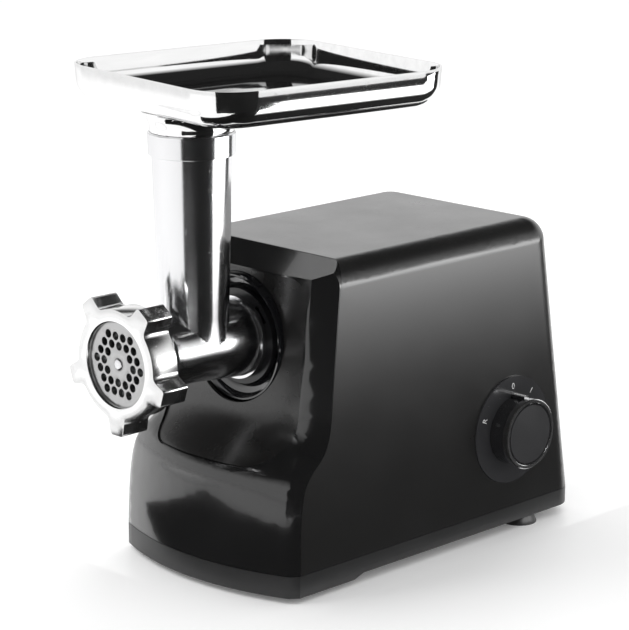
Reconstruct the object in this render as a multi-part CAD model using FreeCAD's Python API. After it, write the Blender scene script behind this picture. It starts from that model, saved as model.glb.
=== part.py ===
"""Electric meat grinder: motor base, gear train, grinding head and hopper tray.

Millimetres, +Z up. The front, where the meat comes out, faces -Y, and the control knob is on +X.
While the pieces are built, X = 0 is the machine's middle plane, Y = 0 lies over the front of the
gearbox and Z = 0 is the table. At the end everything is moved so that the origin is under the
middle of the whole object.
"""

import FreeCAD, Part
import math
import os

Vector = FreeCAD.Vector

# ---- The body's outside ----
AXIS_HEIGHT = 162.0          # grinding axis above the table
AXIS_TO_TOP = 59.6           # from the grinding axis up to the flat top
SEAM_TOP_Y = -44.6           # where the front cover meets the shell on top
BODY_LENGTH = 232.6          # from that seam back to the rear wall at the base
BASE_HALF_WIDTH = 84.5       # half the width just above the base band
SIDE_LEAN = 0.019            # how much each side leans in per millimetre of height
SHOULDER_RADIUS = 17.0       # rounding between the top and the sides
REAR_LEAN = 0.14             # how much the rear wall leans forward per millimetre of height
REAR_CORNER_RADIUS = 20.0
WALL = 3.0
SHELL_GAP = 0.3              # visible joint between shell, cover, panel and base

# ---- Base and feet ----
BASE_BOTTOM = 4.0
BASE_BAND = 15.3
BASE_STEP = 3.0              # how much higher the base's edge is behind the front feet
FOOT_RADIUS = 13.0
FOOT_STEM_RADIUS = 6.0
FRONT_FOOT = (60.0, -72.0)
REAR_FOOT = (72.0, 138.0)

# ---- Front cover ----
FRONT_REACH = 73.0           # from the seam forward to the front of the base
CORNER_REACH = 50.4          # from the seam forward to the base's front corners
BEZEL_WIDTH = 15.6           # how far in from the side the bezel's inner edge lies
BEZEL_TOP_DROP = 10.6        # how far the bezel slopes down from the flat top
BEZEL_TOP_DEPTH = 21.4       # and how far forward it comes over that drop
FRONT_LAYERS = 22            # sections that the smooth front is drawn through
PANEL_HALF_WIDTH = 63.0
PANEL_CORNER_RADIUS = 15.0
PANEL_FOOT_RADIUS = 26.0
PANEL_STEP = 2.0             # how far the panel lies behind the bezel
PANEL_TOP_EDGE = 12.6        # below the flat top
PANEL_FOOT_HEIGHT = 86.0     # the panel's lowest edge above the table
COLLAR_RADIUS = 43.7
COLLAR_RIM = 2.2
COLLAR_THROAT_RADIUS = 33.0

# ---- Head: barrel, tube and what sits in them ----
BARREL_BORE_RADIUS = 19.4
BARREL_FRONT_RADIUS = 22.8
BARREL_REAR_RADIUS = 26.6
SPIGOT_RADIUS = 25.9
SPIGOT_LENGTH = 20.0
SPIGOT_FIT = 0.07            # radial running clearance of the head in the gearbox socket
SPIGOT_LUG = 2.6
FLANGE_RADIUS = 28.4
HEAD_REAR_Y = -71.5          # rear face of the flange
PLATE_RADIUS = 31.0
PLATE_THICKNESS = 5.0
PLATE_FRONT_Y = -175.2
PLATE_PIN_RADIUS = 4.1
PLATE_HOLE_RADIUS = 2.75
PLATE_PITCH = 7.1
PLATE_TURN = -3.4            # degrees
PLATE_FIT = 0.25
KEY_RADIUS = 1.6
MOUTH_WALL = 2.3
THREAD_DEPTH = 0.8
THREAD_PITCH = 3.0
THREAD_TURNS = 4
NUT_THREAD_GAP = 0.3
NUT_WALL = 2.7
NUT_LIP = 2.6
NUT_LENGTH = 20.8
NUT_OPENING_RADIUS = 28.0
NUT_EAR_RADIUS = 47.0
NUT_EAR_HALF_WIDTH = 6.0
NUT_EARS = 5
NUT_TURN = 54.0              # degrees from +X to the first ear
KNIFE_RADIUS = 28.6
KNIFE_THICKNESS = 6.5
KNIFE_SQUARE = 9.0
TUBE_Y = -109.7
TUBE_TOP_RADIUS = 26.4
TUBE_FOOT_RADIUS = 23.4
TUBE_BORE_RADIUS = 18.6
THROAT_RADIUS = 17.4         # where the tube opens into the barrel
THROAT_HEIGHT = 43.0         # top of that throat above the grinding axis
TUBE_TOP_Z = 306.4
COLLAR_BAND = 15.7
COLLAR_BAND_RADIUS = 28.6
NECK_RADIUS = 25.4
NECK_WALL = 1.6
NECK_DEPTH = 14.0
NECK_FIT = 0.3
AUGER_GAP = 0.5
AUGER_PITCH = 26.0
AUGER_CORE_RADIUS = 8.5
FLIGHT_THICKNESS = 4.0
TAIL_SQUARE = 11.0
TAIL_LENGTH = 11.0

# ---- Hopper tray ----
TRAY_WIDTH = 186.0
TRAY_LENGTH = 194.0
TRAY_RIM_Z = 345.0
TRAY_DEPTH = 25.0
TRAY_CORNER_RADIUS = 32.0
TRAY_BOTTOM_RADIUS = 15.0
TRAY_SHEET = 1.5
TRAY_FLARE = 2.0             # how much wider each side is at the rim than at the bottom
TRAY_SETBACK = 52.5          # tray middle behind the tube
TRAY_TURN = -7.7             # degrees, as the tray was left on the round tube

# ---- Gear train (spur, 20 degree teeth), from the output shaft to the motor ----
PRESSURE_ANGLE = math.radians(20)
BACKLASH = 0.12
OUTPUT_MODULE = 1.75
OUTPUT_TEETH = 48
SECOND_PINION_TEETH = 12
SECOND_MODULE = 1.25
SECOND_TEETH = 45
FIRST_PINION_TEETH = 12
FIRST_MODULE = 1.0
FIRST_TEETH = 54
MOTOR_PINION_TEETH = 9
SECOND_AXLE_X = 20.0
MOTOR_DROP = 87.0            # motor axis below the grinding axis
OUTPUT_GEAR_WIDTH = 16.0
SECOND_GEAR_WIDTH = 10.0
FIRST_GEAR_WIDTH = 8.0
GEAR_LAYER_GAP = 4.0
GEARBOX_WALL = 3.0
GEARBOX_FRONT_WALL = 6.0
GEARBOX_REAR_WALL = 5.0
GEAR_END_GAP = 2.0
GEARBOX_LEFT = -50.0
GEARBOX_RIGHT = 54.0
SHAFT_FIT = 0.05             # radial running clearance of shafts in bushes
DRIVE_SHAFT_RADIUS = 10.0
DRIVE_TAIL_RADIUS = 8.0
DRIVE_HEAD_RADIUS = 14.0
BUSH_WALL = 2.5
SECOND_AXLE_RADIUS = 4.0
FIRST_AXLE_RADIUS = 3.0

# ---- Motor ----
MOTOR_SHAFT_RADIUS = 4.0
PINION_SEAT_RADIUS = 2.2
BEARING_RADIUS = 11.0
BEARING_WIDTH = 7.0
FAN_Y = 17.0
FAN_WIDTH = 8.0
FAN_RADIUS = 32.0
FAN_BLADES = 9
STATOR_Y = 40.0
STATOR_LENGTH = 42.0
STATOR_HALF_WIDTH = 42.0
STATOR_HALF_HEIGHT = 36.0
ROTOR_RADIUS = 23.0
AIR_GAP = 0.5
ROTOR_SLOTS = 12
COIL_INNER = 18.0
COIL_OUTER = 27.0
COIL_LOW = 22.0
COIL_HIGH = 30.0
COIL_END = 9.0
COMMUTATOR_Y = 96.0
COMMUTATOR_LENGTH = 14.0
COMMUTATOR_RADIUS = 11.0
BRACKET_Y = 116.0
BRACKET_THICKNESS = 5.0
POST_X = 34.0
POST_Z = 28.0
POST_RADIUS = 5.0
BOLT_RADIUS = 2.4

# ---- Control knob and switch ----
KNOB_FROM_REAR = 72.9        # knob axis ahead of the rear wall at the base
KNOB_Z = 75.7
DIAL_RADIUS = 38.5
DIAL_PROUD = 1.0
DIAL_RIM = 2.4
KNOB_RADIUS = 25.0
KNOB_REACH = 17.0            # how far the knob stands out from the dial plate
KNOB_RING = 2.8
KNOB_RING_DEPTH = 4.5
KNOB_FACE_DEPTH = 1.2
KNOB_GAP = 0.4
SPINDLE_RADIUS = 3.0

# ---- Cord inlet ----
INLET_X = -50.0
INLET_HEIGHT = 18.0          # above the base's top
INLET_RADIUS = 3.4

# ---- Release button ----
BUTTON_X = -48.0
BUTTON_Z = 134.0
BUTTON_RADIUS = 8.0
BUTTON_FIT = 0.3
BUTTON_PROUD = 5.0
BUTTON_DEPTH = 8.0           # from the cover's face to the latch behind the button
LATCH_THICKNESS = 3.2

# ---- Fasteners ----
BOSS_HEIGHT = 17.0
SCREW_RADIUS = 1.6
SCREW_HEAD_RADIUS = 3.4
SCREW_HEAD = 2.2
SCREW_FIT = 0.05

# ---- Places worked out from the sizes above ----
BODY_TOP = AXIS_HEIGHT + AXIS_TO_TOP
BASE_TOP = BASE_BOTTOM + BASE_BAND
REAR_Y = SEAM_TOP_Y + BODY_LENGTH
MOUTH_RADIUS = PLATE_RADIUS + PLATE_FIT + MOUTH_WALL
PLATE_REAR_Y = PLATE_FRONT_Y + PLATE_THICKNESS
NUT_FRONT_Y = PLATE_FRONT_Y - NUT_LIP - 0.1
NUT_REAR_Y = NUT_FRONT_Y + NUT_LENGTH
MOUTH_FRONT_Y = PLATE_FRONT_Y + 1.5
NUT_BORE_RADIUS = MOUTH_RADIUS + NUT_THREAD_GAP
NUT_RADIUS = NUT_BORE_RADIUS + NUT_WALL
SOCKET_FACE_Y = HEAD_REAR_Y + 2.0
SOCKET_FLOOR_Y = HEAD_REAR_Y + SPIGOT_LENGTH + 5.0
CAVITY_FRONT_Y = SOCKET_FLOOR_Y + GEARBOX_FRONT_WALL
OUTPUT_GEAR_Y = CAVITY_FRONT_Y + GEAR_END_GAP
SECOND_GEAR_Y = OUTPUT_GEAR_Y + OUTPUT_GEAR_WIDTH + GEAR_LAYER_GAP
FIRST_GEAR_Y = SECOND_GEAR_Y + SECOND_GEAR_WIDTH + GEAR_LAYER_GAP
CAVITY_REAR_Y = FIRST_GEAR_Y + FIRST_GEAR_WIDTH + GEAR_END_GAP
GEARBOX_REAR_Y = CAVITY_REAR_Y + GEARBOX_REAR_WALL
MOTOR_Z = AXIS_HEIGHT - MOTOR_DROP


def centre_distance(module, teeth_a, teeth_b):
    return module * (teeth_a + teeth_b) / 2


def crossing(point_a, radius_a, point_b, radius_b):
    """The point at the two distances from two points, on the left of the line between them."""
    dx = point_b[0] - point_a[0]
    dz = point_b[1] - point_a[1]
    gap = math.hypot(dx, dz)
    along = (radius_a**2 - radius_b**2 + gap**2) / (2 * gap)
    aside = math.sqrt(radius_a**2 - along**2)
    return (
        point_a[0] + (along * dx - aside * dz) / gap,
        point_a[1] + (along * dz + aside * dx) / gap,
    )


OUTPUT_DISTANCE = centre_distance(OUTPUT_MODULE, OUTPUT_TEETH, SECOND_PINION_TEETH)
SECOND_DISTANCE = centre_distance(SECOND_MODULE, SECOND_TEETH, FIRST_PINION_TEETH)
FIRST_DISTANCE = centre_distance(FIRST_MODULE, FIRST_TEETH, MOTOR_PINION_TEETH)
SECOND_AXLE = (SECOND_AXLE_X, AXIS_HEIGHT - math.sqrt(OUTPUT_DISTANCE**2 - SECOND_AXLE_X**2))
FIRST_AXLE = crossing((0, MOTOR_Z), FIRST_DISTANCE, SECOND_AXLE, SECOND_DISTANCE)


# ---------------------------------------------------------------- basic solids


def y_cylinder(radius, y0, y1, x=0.0, z=AXIS_HEIGHT):
    return Part.makeCylinder(radius, y1 - y0, Vector(x, y0, z), Vector(0, 1, 0))


def z_cylinder(radius, z0, z1, x=0.0, y=0.0):
    return Part.makeCylinder(radius, z1 - z0, Vector(x, y, z0), Vector(0, 0, 1))


def x_cylinder(radius, x0, x1, y, z):
    return Part.makeCylinder(radius, x1 - x0, Vector(x0, y, z), Vector(1, 0, 0))


def y_ring(outer, inner, y0, y1, x=0.0, z=AXIS_HEIGHT):
    return y_cylinder(outer, y0, y1, x, z).cut(y_cylinder(inner, y0, y1, x, z))


def box(x0, x1, y0, y1, z0, z1):
    return Part.makeBox(x1 - x0, y1 - y0, z1 - z0, Vector(x0, y0, z0))


def fused(shapes):
    """One clean solid from shapes that touch or overlap."""
    return shapes[0].fuse(list(shapes[1:])).removeSplitter()


def overlap(shape, *others):
    """What a shape shares with every one of the others."""
    for other in others:
        shape = shape.common(other)
    return shape


def turned_y(profile, x=0.0, z=AXIS_HEIGHT):
    """A solid of revolution about a line along Y, from (radius, y) corners."""
    points = [Vector(x + radius, y, z) for radius, y in profile]
    face = Part.Face(Part.makePolygon(points + points[:1]))
    return face.revolve(Vector(x, 0, z), Vector(0, 1, 0), 360)


def turned_z(profile, x=0.0, y=0.0):
    """A solid of revolution about a vertical line, from (radius, z) corners."""
    points = [Vector(x + radius, y, z) for radius, z in profile]
    face = Part.Face(Part.makePolygon(points + points[:1]))
    return face.revolve(Vector(x, y, 0), Vector(0, 0, 1), 360)


def rounded_outline(corners, to_space):
    """A closed wire through (a, b, radius) corners, with each corner rounded by its radius."""
    edges = []
    count = len(corners)
    ends = []
    for i in range(count):
        here = Vector(corners[i][0], corners[i][1], 0)
        before = Vector(corners[i - 1][0], corners[i - 1][1], 0) - here
        after = Vector(corners[(i + 1) % count][0], corners[(i + 1) % count][1], 0) - here
        before.normalize()
        after.normalize()
        radius = corners[i][2]
        if radius == 0:
            ends.append((here, here, here))
            continue
        half = before.getAngle(after) / 2
        reach = radius / math.tan(half)
        middle = before + after
        middle.normalize()
        arc_middle = here + middle * (radius / math.sin(half) - radius)
        ends.append((here + before * reach, arc_middle, here + after * reach))
    for i in range(count):
        start, middle, end = ends[i]
        if corners[i][2] > 0:
            points = [to_space(p.x, p.y) for p in (start, middle, end)]
            edges.append(Part.Arc(*points).toShape())
        following = ends[(i + 1) % count][0]
        if (following - end).Length > 1e-6:
            edges.append(Part.makeLine(to_space(end.x, end.y), to_space(following.x, following.y)))
    return Part.Wire(Part.__sortEdges__(edges))


def prism(wire, along):
    return Part.Face(wire).extrude(along)


def at_y(y):
    return lambda a, b: Vector(a, y, b)


def at_x(x):
    return lambda a, b: Vector(x, a, b)


def at_z(z):
    return lambda a, b: Vector(a, b, z)


def screw_down(x, y, head_top, length):
    """A pan-head screw pointing up, with its head below."""
    head = z_cylinder(SCREW_HEAD_RADIUS, head_top - SCREW_HEAD, head_top, x, y)
    return fused([head, z_cylinder(SCREW_RADIUS, head_top, head_top + length, x, y)])


def screw_back(x, z, head_y, length):
    """A pan-head screw along +Y, with its head in front."""
    head = y_cylinder(SCREW_HEAD_RADIUS, head_y - SCREW_HEAD, head_y, x, z)
    return fused([head, y_cylinder(SCREW_RADIUS, head_y, head_y + length, x, z)])


# ---------------------------------------------------------------- body envelope


def side_x(z):
    """Half the body's width at height z."""
    return BASE_HALF_WIDTH - (z - BASE_TOP) * SIDE_LEAN


def front_stations():
    """Rows of the cover's front: height, seam y, bezel inner x and y, and middle y.

    The heights follow the base, the panel's foot, the grinding axis and the top; the depths are
    measured forward from the seam on top.
    """
    base = BASE_TOP - 1.0
    foot = PANEL_FOOT_HEIGHT
    axis = AXIS_HEIGHT
    inner = side_x(axis) - BEZEL_WIDTH
    rows = [
        (base, CORNER_REACH, side_x(base) - 4.5, 56.5, FRONT_REACH),
        (base + (foot - base) * 0.45, 49.6, side_x(foot) - 4.2, 55.6, 72.0),
        (foot - 14.0, 46.6, side_x(foot) - 5.4, 53.0, 70.4),
        (foot - 2.0, 40.5, side_x(foot) - 8.0, 49.6, 68.0),
        (foot + 4.0, 33.5, side_x(foot) - 10.0, 45.0, 60.5),
        (foot + 11.0, 27.0, inner + 3.6, 38.5, 51.0),
        (foot + 19.0, 23.0, inner + 2.0, 33.5, 42.0),
        (foot + 29.0, 20.6, inner + 1.0, 30.5, 35.6),
        (axis - 27.0, 18.4, inner, 28.4, 32.0),
        (axis, 15.2, inner, 26.0, 28.6),
        (axis + 38.0, 11.0, inner, 22.6, 24.4),
        (BODY_TOP + 2.0, 8.0, inner, 20.4, 22.0),
    ]
    return [(z, SEAM_TOP_Y - s, x, SEAM_TOP_Y - y, SEAM_TOP_Y - m) for z, s, x, y, m in rows]


def smooth_between(knots, values, at):
    """A smooth curve through the values that never overshoots them."""
    slopes = [(b - a) / (q - p) for p, q, a, b in zip(knots, knots[1:], values, values[1:])]
    tangents = [slopes[0]]
    for before, after in zip(slopes, slopes[1:]):
        same_way = before * after > 0
        tangents.append(2 * before * after / (before + after) if same_way else 0.0)
    tangents.append(slopes[-1])
    i = max(k for k in range(len(slopes)) if k == 0 or knots[k] <= at)
    span = knots[i + 1] - knots[i]
    t = (at - knots[i]) / span
    start = (1 + 2 * t) * (1 - t) ** 2 * values[i] + t * (1 - t) ** 2 * span * tangents[i]
    end = t * t * (3 - 2 * t) * values[i + 1] + t * t * (t - 1) * span * tangents[i + 1]
    return start + end


def front_row(z):
    """The front's measures at any height, between the stations."""
    rows = front_stations()
    heights = [row[0] for row in rows]
    return [z] + [smooth_between(heights, [row[i] for row in rows], z) for i in range(1, 5)]


def front_heights():
    """Evenly spaced heights from below the base's top to above the flat top."""
    low = front_stations()[0][0]
    high = front_stations()[-1][0]
    return [low + (high - low) * i / (FRONT_LAYERS - 1) for i in range(FRONT_LAYERS)]


def front_section(row, inset):
    """The outline of the body's front end at one height, moved in by the inset."""
    z, seam_y, inner_x, inner_y, middle_y = row
    outer_x = side_x(z) - inset
    inner_x = inner_x - inset * 0.5
    back = SEAM_TOP_Y + 30.0
    seam_y += inset
    inner_y += inset
    middle_y += inset
    corners = [
        Vector(outer_x, back, z),
        Vector(outer_x, seam_y, z),
        Vector(inner_x, inner_y, z),
        Vector(-inner_x, inner_y, z),
        Vector(-outer_x, seam_y, z),
        Vector(-outer_x, back, z),
    ]
    bow = Part.BezierCurve()
    bow.setPoles([corners[2], Vector(0, 2 * middle_y - inner_y, z), corners[3]])
    edges = [Part.makeLine(a, b) for a, b in zip(corners, corners[1:] + corners[:1])]
    edges[2] = bow.toShape()
    return Part.Wire(edges)


def front_block(inset=0.0, setback=0.0):
    """The solid front end, without the slope over its top."""
    sections = [front_section(front_row(z), inset) for z in front_heights()]
    block = Part.makeLoft(sections, True, False)
    block.translate(Vector(0, setback, 0))
    return block


def top_slope(inset=0.0):
    """What the bezel's slope takes off the front of the top."""
    slope_y = SEAM_TOP_Y - BEZEL_TOP_DEPTH * 3
    drop = BEZEL_TOP_DROP * 3
    start = Vector(0, SEAM_TOP_Y, BODY_TOP - inset)
    points = [
        start,
        Vector(0, slope_y, BODY_TOP - inset - drop),
        Vector(0, slope_y - 60, BODY_TOP - inset - drop),
        Vector(0, slope_y - 60, BODY_TOP + 60),
        Vector(0, SEAM_TOP_Y, BODY_TOP + 60),
    ]
    face = Part.Face(Part.makePolygon(points + points[:1]))
    face.translate(Vector(-BASE_HALF_WIDTH - 20, 0, 0))
    return face.extrude(Vector(2 * BASE_HALF_WIDTH + 40, 0, 0))


def front_profile(inset=0.0, low=BASE_TOP):
    """The body's shape seen from the front, as a long prism along Y."""
    low_x = side_x(low) - inset
    top_x = side_x(BODY_TOP) - inset
    radius = SHOULDER_RADIUS - inset
    corners = [
        (-low_x, low, 0),
        (low_x, low, 0),
        (top_x, BODY_TOP - inset, radius),
        (-top_x, BODY_TOP - inset, radius),
    ]
    y0 = SEAM_TOP_Y - FRONT_REACH - 40
    return prism(rounded_outline(corners, at_y(y0)), Vector(0, REAR_Y - y0 + 40, 0))


def rear_block(inset=0.0, low=BASE_TOP):
    """The body from the front cover back: leaning sides and rear, all its edges rounded."""
    wires = []
    front = SEAM_TOP_Y - FRONT_REACH - 20
    for z in (low, BODY_TOP - inset):
        half = side_x(z) - inset
        rear = REAR_Y - inset - (z - BASE_TOP) * REAR_LEAN
        corners = [(-half, front, 0), (half, front, 0), (half, rear, 0), (-half, rear, 0)]
        wires.append(rounded_outline(corners, at_z(z)))
    block = Part.makeLoft(wires, True, True)
    upright = [e for e in block.Edges if is_rear_upright(e)]
    block = block.makeFillet(REAR_CORNER_RADIUS - inset, upright)
    across = [e for e in block.Edges if is_rear_top(e, BODY_TOP - inset)]
    block = block.makeFillet(SHOULDER_RADIUS - inset, across)
    return block


def is_rear_upright(edge):
    size = edge.BoundBox
    return size.ZLength > 50 and size.YMin > 0


def is_rear_top(edge, top):
    """Whether an edge belongs to the top face, apart from its front edge."""
    size = edge.BoundBox
    return size.ZMin > top - 0.01 and size.YMax > SEAM_TOP_Y


def ahead_of_seam(gap=0.0):
    """Everything in front of the seam between the cover and the shell."""
    top = Vector(0, SEAM_TOP_Y - gap, BODY_TOP)
    rows = [front_row(z) for z in reversed(front_heights()) if z < BODY_TOP - 8]
    line = [Vector(0, row[1] + 0.8 - gap, row[0]) for row in rows]
    curve = Part.BSplineCurve()
    curve.interpolate([top] + line)
    far = SEAM_TOP_Y - FRONT_REACH - 80
    below = BASE_TOP - 30
    corners = [
        line[-1],
        Vector(0, line[-1].y, below),
        Vector(0, far, below),
        Vector(0, far, BODY_TOP + 20),
        Vector(0, top.y, BODY_TOP + 20),
        top,
    ]
    edges = [curve.toShape()]
    edges += [Part.makeLine(a, b) for a, b in zip(corners, corners[1:])]
    face = Part.Face(Part.Wire(Part.__sortEdges__(edges)))
    face.translate(Vector(-BASE_HALF_WIDTH - 20, 0, 0))
    return face.extrude(Vector(2 * BASE_HALF_WIDTH + 40, 0, 0))


def panel_outline(grow=0.0):
    """The recess in the front cover, as a prism along Y."""
    top = BODY_TOP - PANEL_TOP_EDGE + grow
    low = PANEL_FOOT_HEIGHT - grow
    half = PANEL_HALF_WIDTH + grow
    corners = [
        (-half, low, PANEL_FOOT_RADIUS + grow),
        (half, low, PANEL_FOOT_RADIUS + grow),
        (half, top, PANEL_CORNER_RADIUS + grow),
        (-half, top, PANEL_CORNER_RADIUS + grow),
    ]
    y0 = SEAM_TOP_Y - FRONT_REACH - 20
    return prism(rounded_outline(corners, at_y(y0)), Vector(0, FRONT_REACH + 30, 0))


# ---------------------------------------------------------------- body shells


def main_housing():
    """The shell over the motor and gears: top, both sides and rear, open at the front and base."""
    outer = rear_block()
    inner = rear_block(WALL, BASE_TOP - 5)
    shell = outer.cut([inner, ahead_of_seam()])
    shell = shell.cut(knob_cylinder(DIAL_RADIUS - 4, 60, BASE_HALF_WIDTH + 5))
    seat_x = dial_face_x() - DIAL_RIM
    shell = shell.cut(knob_cylinder(DIAL_RADIUS + 0.15, seat_x, BASE_HALF_WIDTH + 5))
    return fused([shell.cut(rear_vents())] + housing_bosses())


def housing_screw_places():
    x = side_x(BASE_TOP) - WALL - 7.0
    return [(s * x, y) for s in (-1, 1) for y in (SEAM_TOP_Y + 20, REAR_Y - 24)]


def housing_bosses():
    """Screw bosses inside the shell, each tied to its side wall by a rib."""
    bosses = []
    for x, y in housing_screw_places():
        top = BASE_TOP + BOSS_HEIGHT
        side = 1 if x > 0 else -1
        wall_x = side * (side_x(top) - WALL / 2)
        rib = box(min(x, wall_x), max(x, wall_x), y - 1.5, y + 1.5, BASE_TOP, top)
        post = z_cylinder(4.5, BASE_TOP, top, x, y)
        hole = z_cylinder(SCREW_RADIUS + SCREW_FIT, BASE_TOP - 1, top - 4, x, y)
        bosses.append(fused([rib, post]).cut(hole))
    return bosses


def rear_vents():
    """Air slots through the rear wall."""
    slots = []
    for row in range(7):
        z = BASE_TOP + 42 + row * 9
        wire = rounded_outline(
            [(-34, z - 1.8, 1.7), (34, z - 1.8, 1.7), (34, z + 1.8, 1.7), (-34, z + 1.8, 1.7)],
            at_y(REAR_Y - 60),
        )
        slots.append(prism(wire, Vector(0, 80, 0)))
    slots.append(on_rear_wall(Part.makeCylinder(7.5, 30, Vector(0, -20, 0), Vector(0, 1, 0))))
    return slots


def on_rear_wall(shape):
    """Moves a shape made round the Y axis at the origin to the cord's place on the rear wall."""
    z = BASE_TOP + INLET_HEIGHT
    wall_y = REAR_Y - INLET_HEIGHT * REAR_LEAN
    shape.rotate(Vector(0, 0, 0), Vector(1, 0, 0), math.degrees(math.atan(REAR_LEAN)))
    shape.translate(Vector(INLET_X, wall_y, z))
    return shape


def front_cover():
    """The bezel and the apron below it, one moulding with an opening for the panel."""
    outer = overlap(front_block(), front_profile(), ahead_of_seam(SHELL_GAP)).cut(top_slope())
    inner = overlap(front_block(WALL), front_profile(WALL, BASE_TOP - 5)).cut(top_slope(WALL))
    return outer.cut([inner, panel_outline()])


def recess_panel():
    """The scooped panel behind the bezel, with a hole for the socket and one for the button."""
    thick = WALL - 0.5
    visible = overlap(front_block(0, PANEL_STEP), panel_outline(-SHELL_GAP))
    rim = overlap(front_block(WALL + 0.05), panel_outline(2.5), front_profile(WALL + 0.2))
    plate = fused([visible, rim.cut(top_slope(WALL + 0.2))])
    behind = front_block(0, PANEL_STEP + thick)
    plate = plate.cut(behind)
    face_y = SEAM_TOP_Y - 60
    plate = plate.cut(y_cylinder(COLLAR_RADIUS + SHELL_GAP, face_y, 0))
    return plate.cut(y_cylinder(BUTTON_RADIUS + BUTTON_FIT, face_y, 0, BUTTON_X, BUTTON_Z))


def socket_collar():
    """The glossy ring round the socket: a thin bead and a bowl that narrows to the socket."""
    face = panel_middle_y() - COLLAR_RIM
    rear = SOCKET_FACE_Y + 6.5
    profile = [
        (COLLAR_RADIUS, rear - 3.0),
        (COLLAR_RADIUS, face + 0.8),
        (COLLAR_RADIUS - 0.8, face),
        (COLLAR_RADIUS - 1.9, face),
        (COLLAR_RADIUS - 2.6, face + 0.9),
        (COLLAR_RADIUS - 4.6, face + 5.0),
        (COLLAR_THROAT_RADIUS + 1.6, rear - 3.6),
        (COLLAR_THROAT_RADIUS, rear - 2.4),
        (COLLAR_THROAT_RADIUS, rear),
        (COLLAR_RADIUS - 3.0, rear),
    ]
    return turned_y(profile)


def panel_middle_y():
    """Where the panel's front face crosses the grinding axis."""
    return front_row(AXIS_HEIGHT)[4] + PANEL_STEP


def base_outline(grow, z):
    """The base's outline: straight sides, rounded rear corners and a bowed front."""
    row = front_row(BASE_TOP)
    side = BASE_HALF_WIDTH + grow
    corner_x = row[2] + grow * 0.5
    rear = REAR_Y + grow
    radius = REAR_CORNER_RADIUS + grow
    turn = radius * (1 - math.sqrt(0.5))
    points = {
        "right_front": Vector(side, row[1] - grow, z),
        "right_rear": Vector(side, rear - radius, z),
        "rear_right": Vector(side - radius, rear, z),
        "rear_left": Vector(-side + radius, rear, z),
        "left_rear": Vector(-side, rear - radius, z),
        "left_front": Vector(-side, row[1] - grow, z),
        "bow_left": Vector(-corner_x, row[3] - grow, z),
        "bow_right": Vector(corner_x, row[3] - grow, z),
    }
    right_turn = Vector(side - turn, rear - turn, z)
    left_turn = Vector(turn - side, rear - turn, z)
    bow = Vector(0, row[4] - grow, z)
    edges = [
        Part.makeLine(points["right_front"], points["right_rear"]),
        Part.Arc(points["right_rear"], right_turn, points["rear_right"]).toShape(),
        Part.makeLine(points["rear_right"], points["rear_left"]),
        Part.Arc(points["rear_left"], left_turn, points["left_rear"]).toShape(),
        Part.makeLine(points["left_rear"], points["left_front"]),
        Part.makeLine(points["left_front"], points["bow_left"]),
        Part.Arc(points["bow_left"], bow, points["bow_right"]).toShape(),
        Part.makeLine(points["bow_right"], points["right_front"]),
    ]
    return Part.Wire(edges)


def base_tray():
    """The bottom: a shallow tray whose edge band shows below the shell, higher behind the feet."""
    band = prism(base_outline(0, BASE_BOTTOM), Vector(0, 0, BASE_BAND - SHELL_GAP))
    step_y = FRONT_FOOT[1] + 28
    step = [
        Vector(-200, step_y, BASE_BOTTOM - 1),
        Vector(-200, step_y, BASE_BOTTOM),
        Vector(-200, step_y + 9, BASE_BOTTOM + BASE_STEP),
        Vector(-200, REAR_Y + 50, BASE_BOTTOM + BASE_STEP),
        Vector(-200, REAR_Y + 50, BASE_BOTTOM - 1),
    ]
    raised = Part.Face(Part.makePolygon(step + step[:1])).extrude(Vector(400, 0, 0))
    hollow = prism(base_outline(-WALL, BASE_BOTTOM + WALL + BASE_STEP), Vector(0, 0, BASE_BAND))
    tray = band.cut([raised, hollow])
    post_low = BASE_BOTTOM + BASE_STEP
    post_top = BASE_TOP - SHELL_GAP
    posts = [z_cylinder(5.5, post_low, post_top, x, y) for x, y in housing_screw_places()]
    posts += [z_cylinder(10.0, foot_seat(y), foot_seat(y) + 7, x, y) for x, y in foot_places()]
    tray = fused([tray] + posts)
    holes = []
    for x, y in housing_screw_places():
        holes.append(z_cylinder(SCREW_RADIUS + SCREW_FIT, 0, BASE_TOP + 1, x, y))
        holes.append(z_cylinder(SCREW_HEAD_RADIUS + 0.3, 0, screw_seat(), x, y))
    for x, y in foot_places():
        holes.append(z_cylinder(FOOT_STEM_RADIUS, 0, foot_seat(y) + 4, x, y))
        holes.append(z_cylinder(SCREW_RADIUS + SCREW_FIT, 0, foot_seat(y) + 8, x, y))
    holes += base_vents()
    return tray.cut(holes)


def screw_seat():
    return BASE_BOTTOM + BASE_STEP + SCREW_HEAD + 1.0


def foot_places():
    return [(s * x, y) for s in (-1, 1) for x, y in (FRONT_FOOT, REAR_FOOT)]


def foot_seat(y):
    """Height of the base's underside over a foot."""
    return BASE_BOTTOM if y < FRONT_FOOT[1] + 20 else BASE_BOTTOM + BASE_STEP


def base_vents():
    """Slots through the base's floor under the motor."""
    slots = []
    for i in range(8):
        y = 62 + i * 9
        corners = [(-26, y - 2, 1.9), (26, y - 2, 1.9), (26, y + 2, 1.9), (-26, y + 2, 1.9)]
        slots.append(prism(rounded_outline(corners, at_z(0)), Vector(0, 0, BASE_TOP)))
    return slots


def rubber_feet():
    """Four feet: a splayed pad with a suction lip and a stem up into the base."""
    feet = []
    for x, y in foot_places():
        seat = foot_seat(y)
        profile = [
            (2.2, seat + 4),
            (2.2, 1.4),
            (FOOT_RADIUS - 3.5, 1.4),
            (FOOT_RADIUS - 2.0, 0),
            (FOOT_RADIUS, 0),
            (FOOT_RADIUS, 0.8),
            (FOOT_RADIUS - 3.0, seat),
            (FOOT_STEM_RADIUS - 0.1, seat),
            (FOOT_STEM_RADIUS - 0.1, seat + 4),
        ]
        feet.append(turned_z(profile, x, y))
    return Part.Compound(feet)


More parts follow.
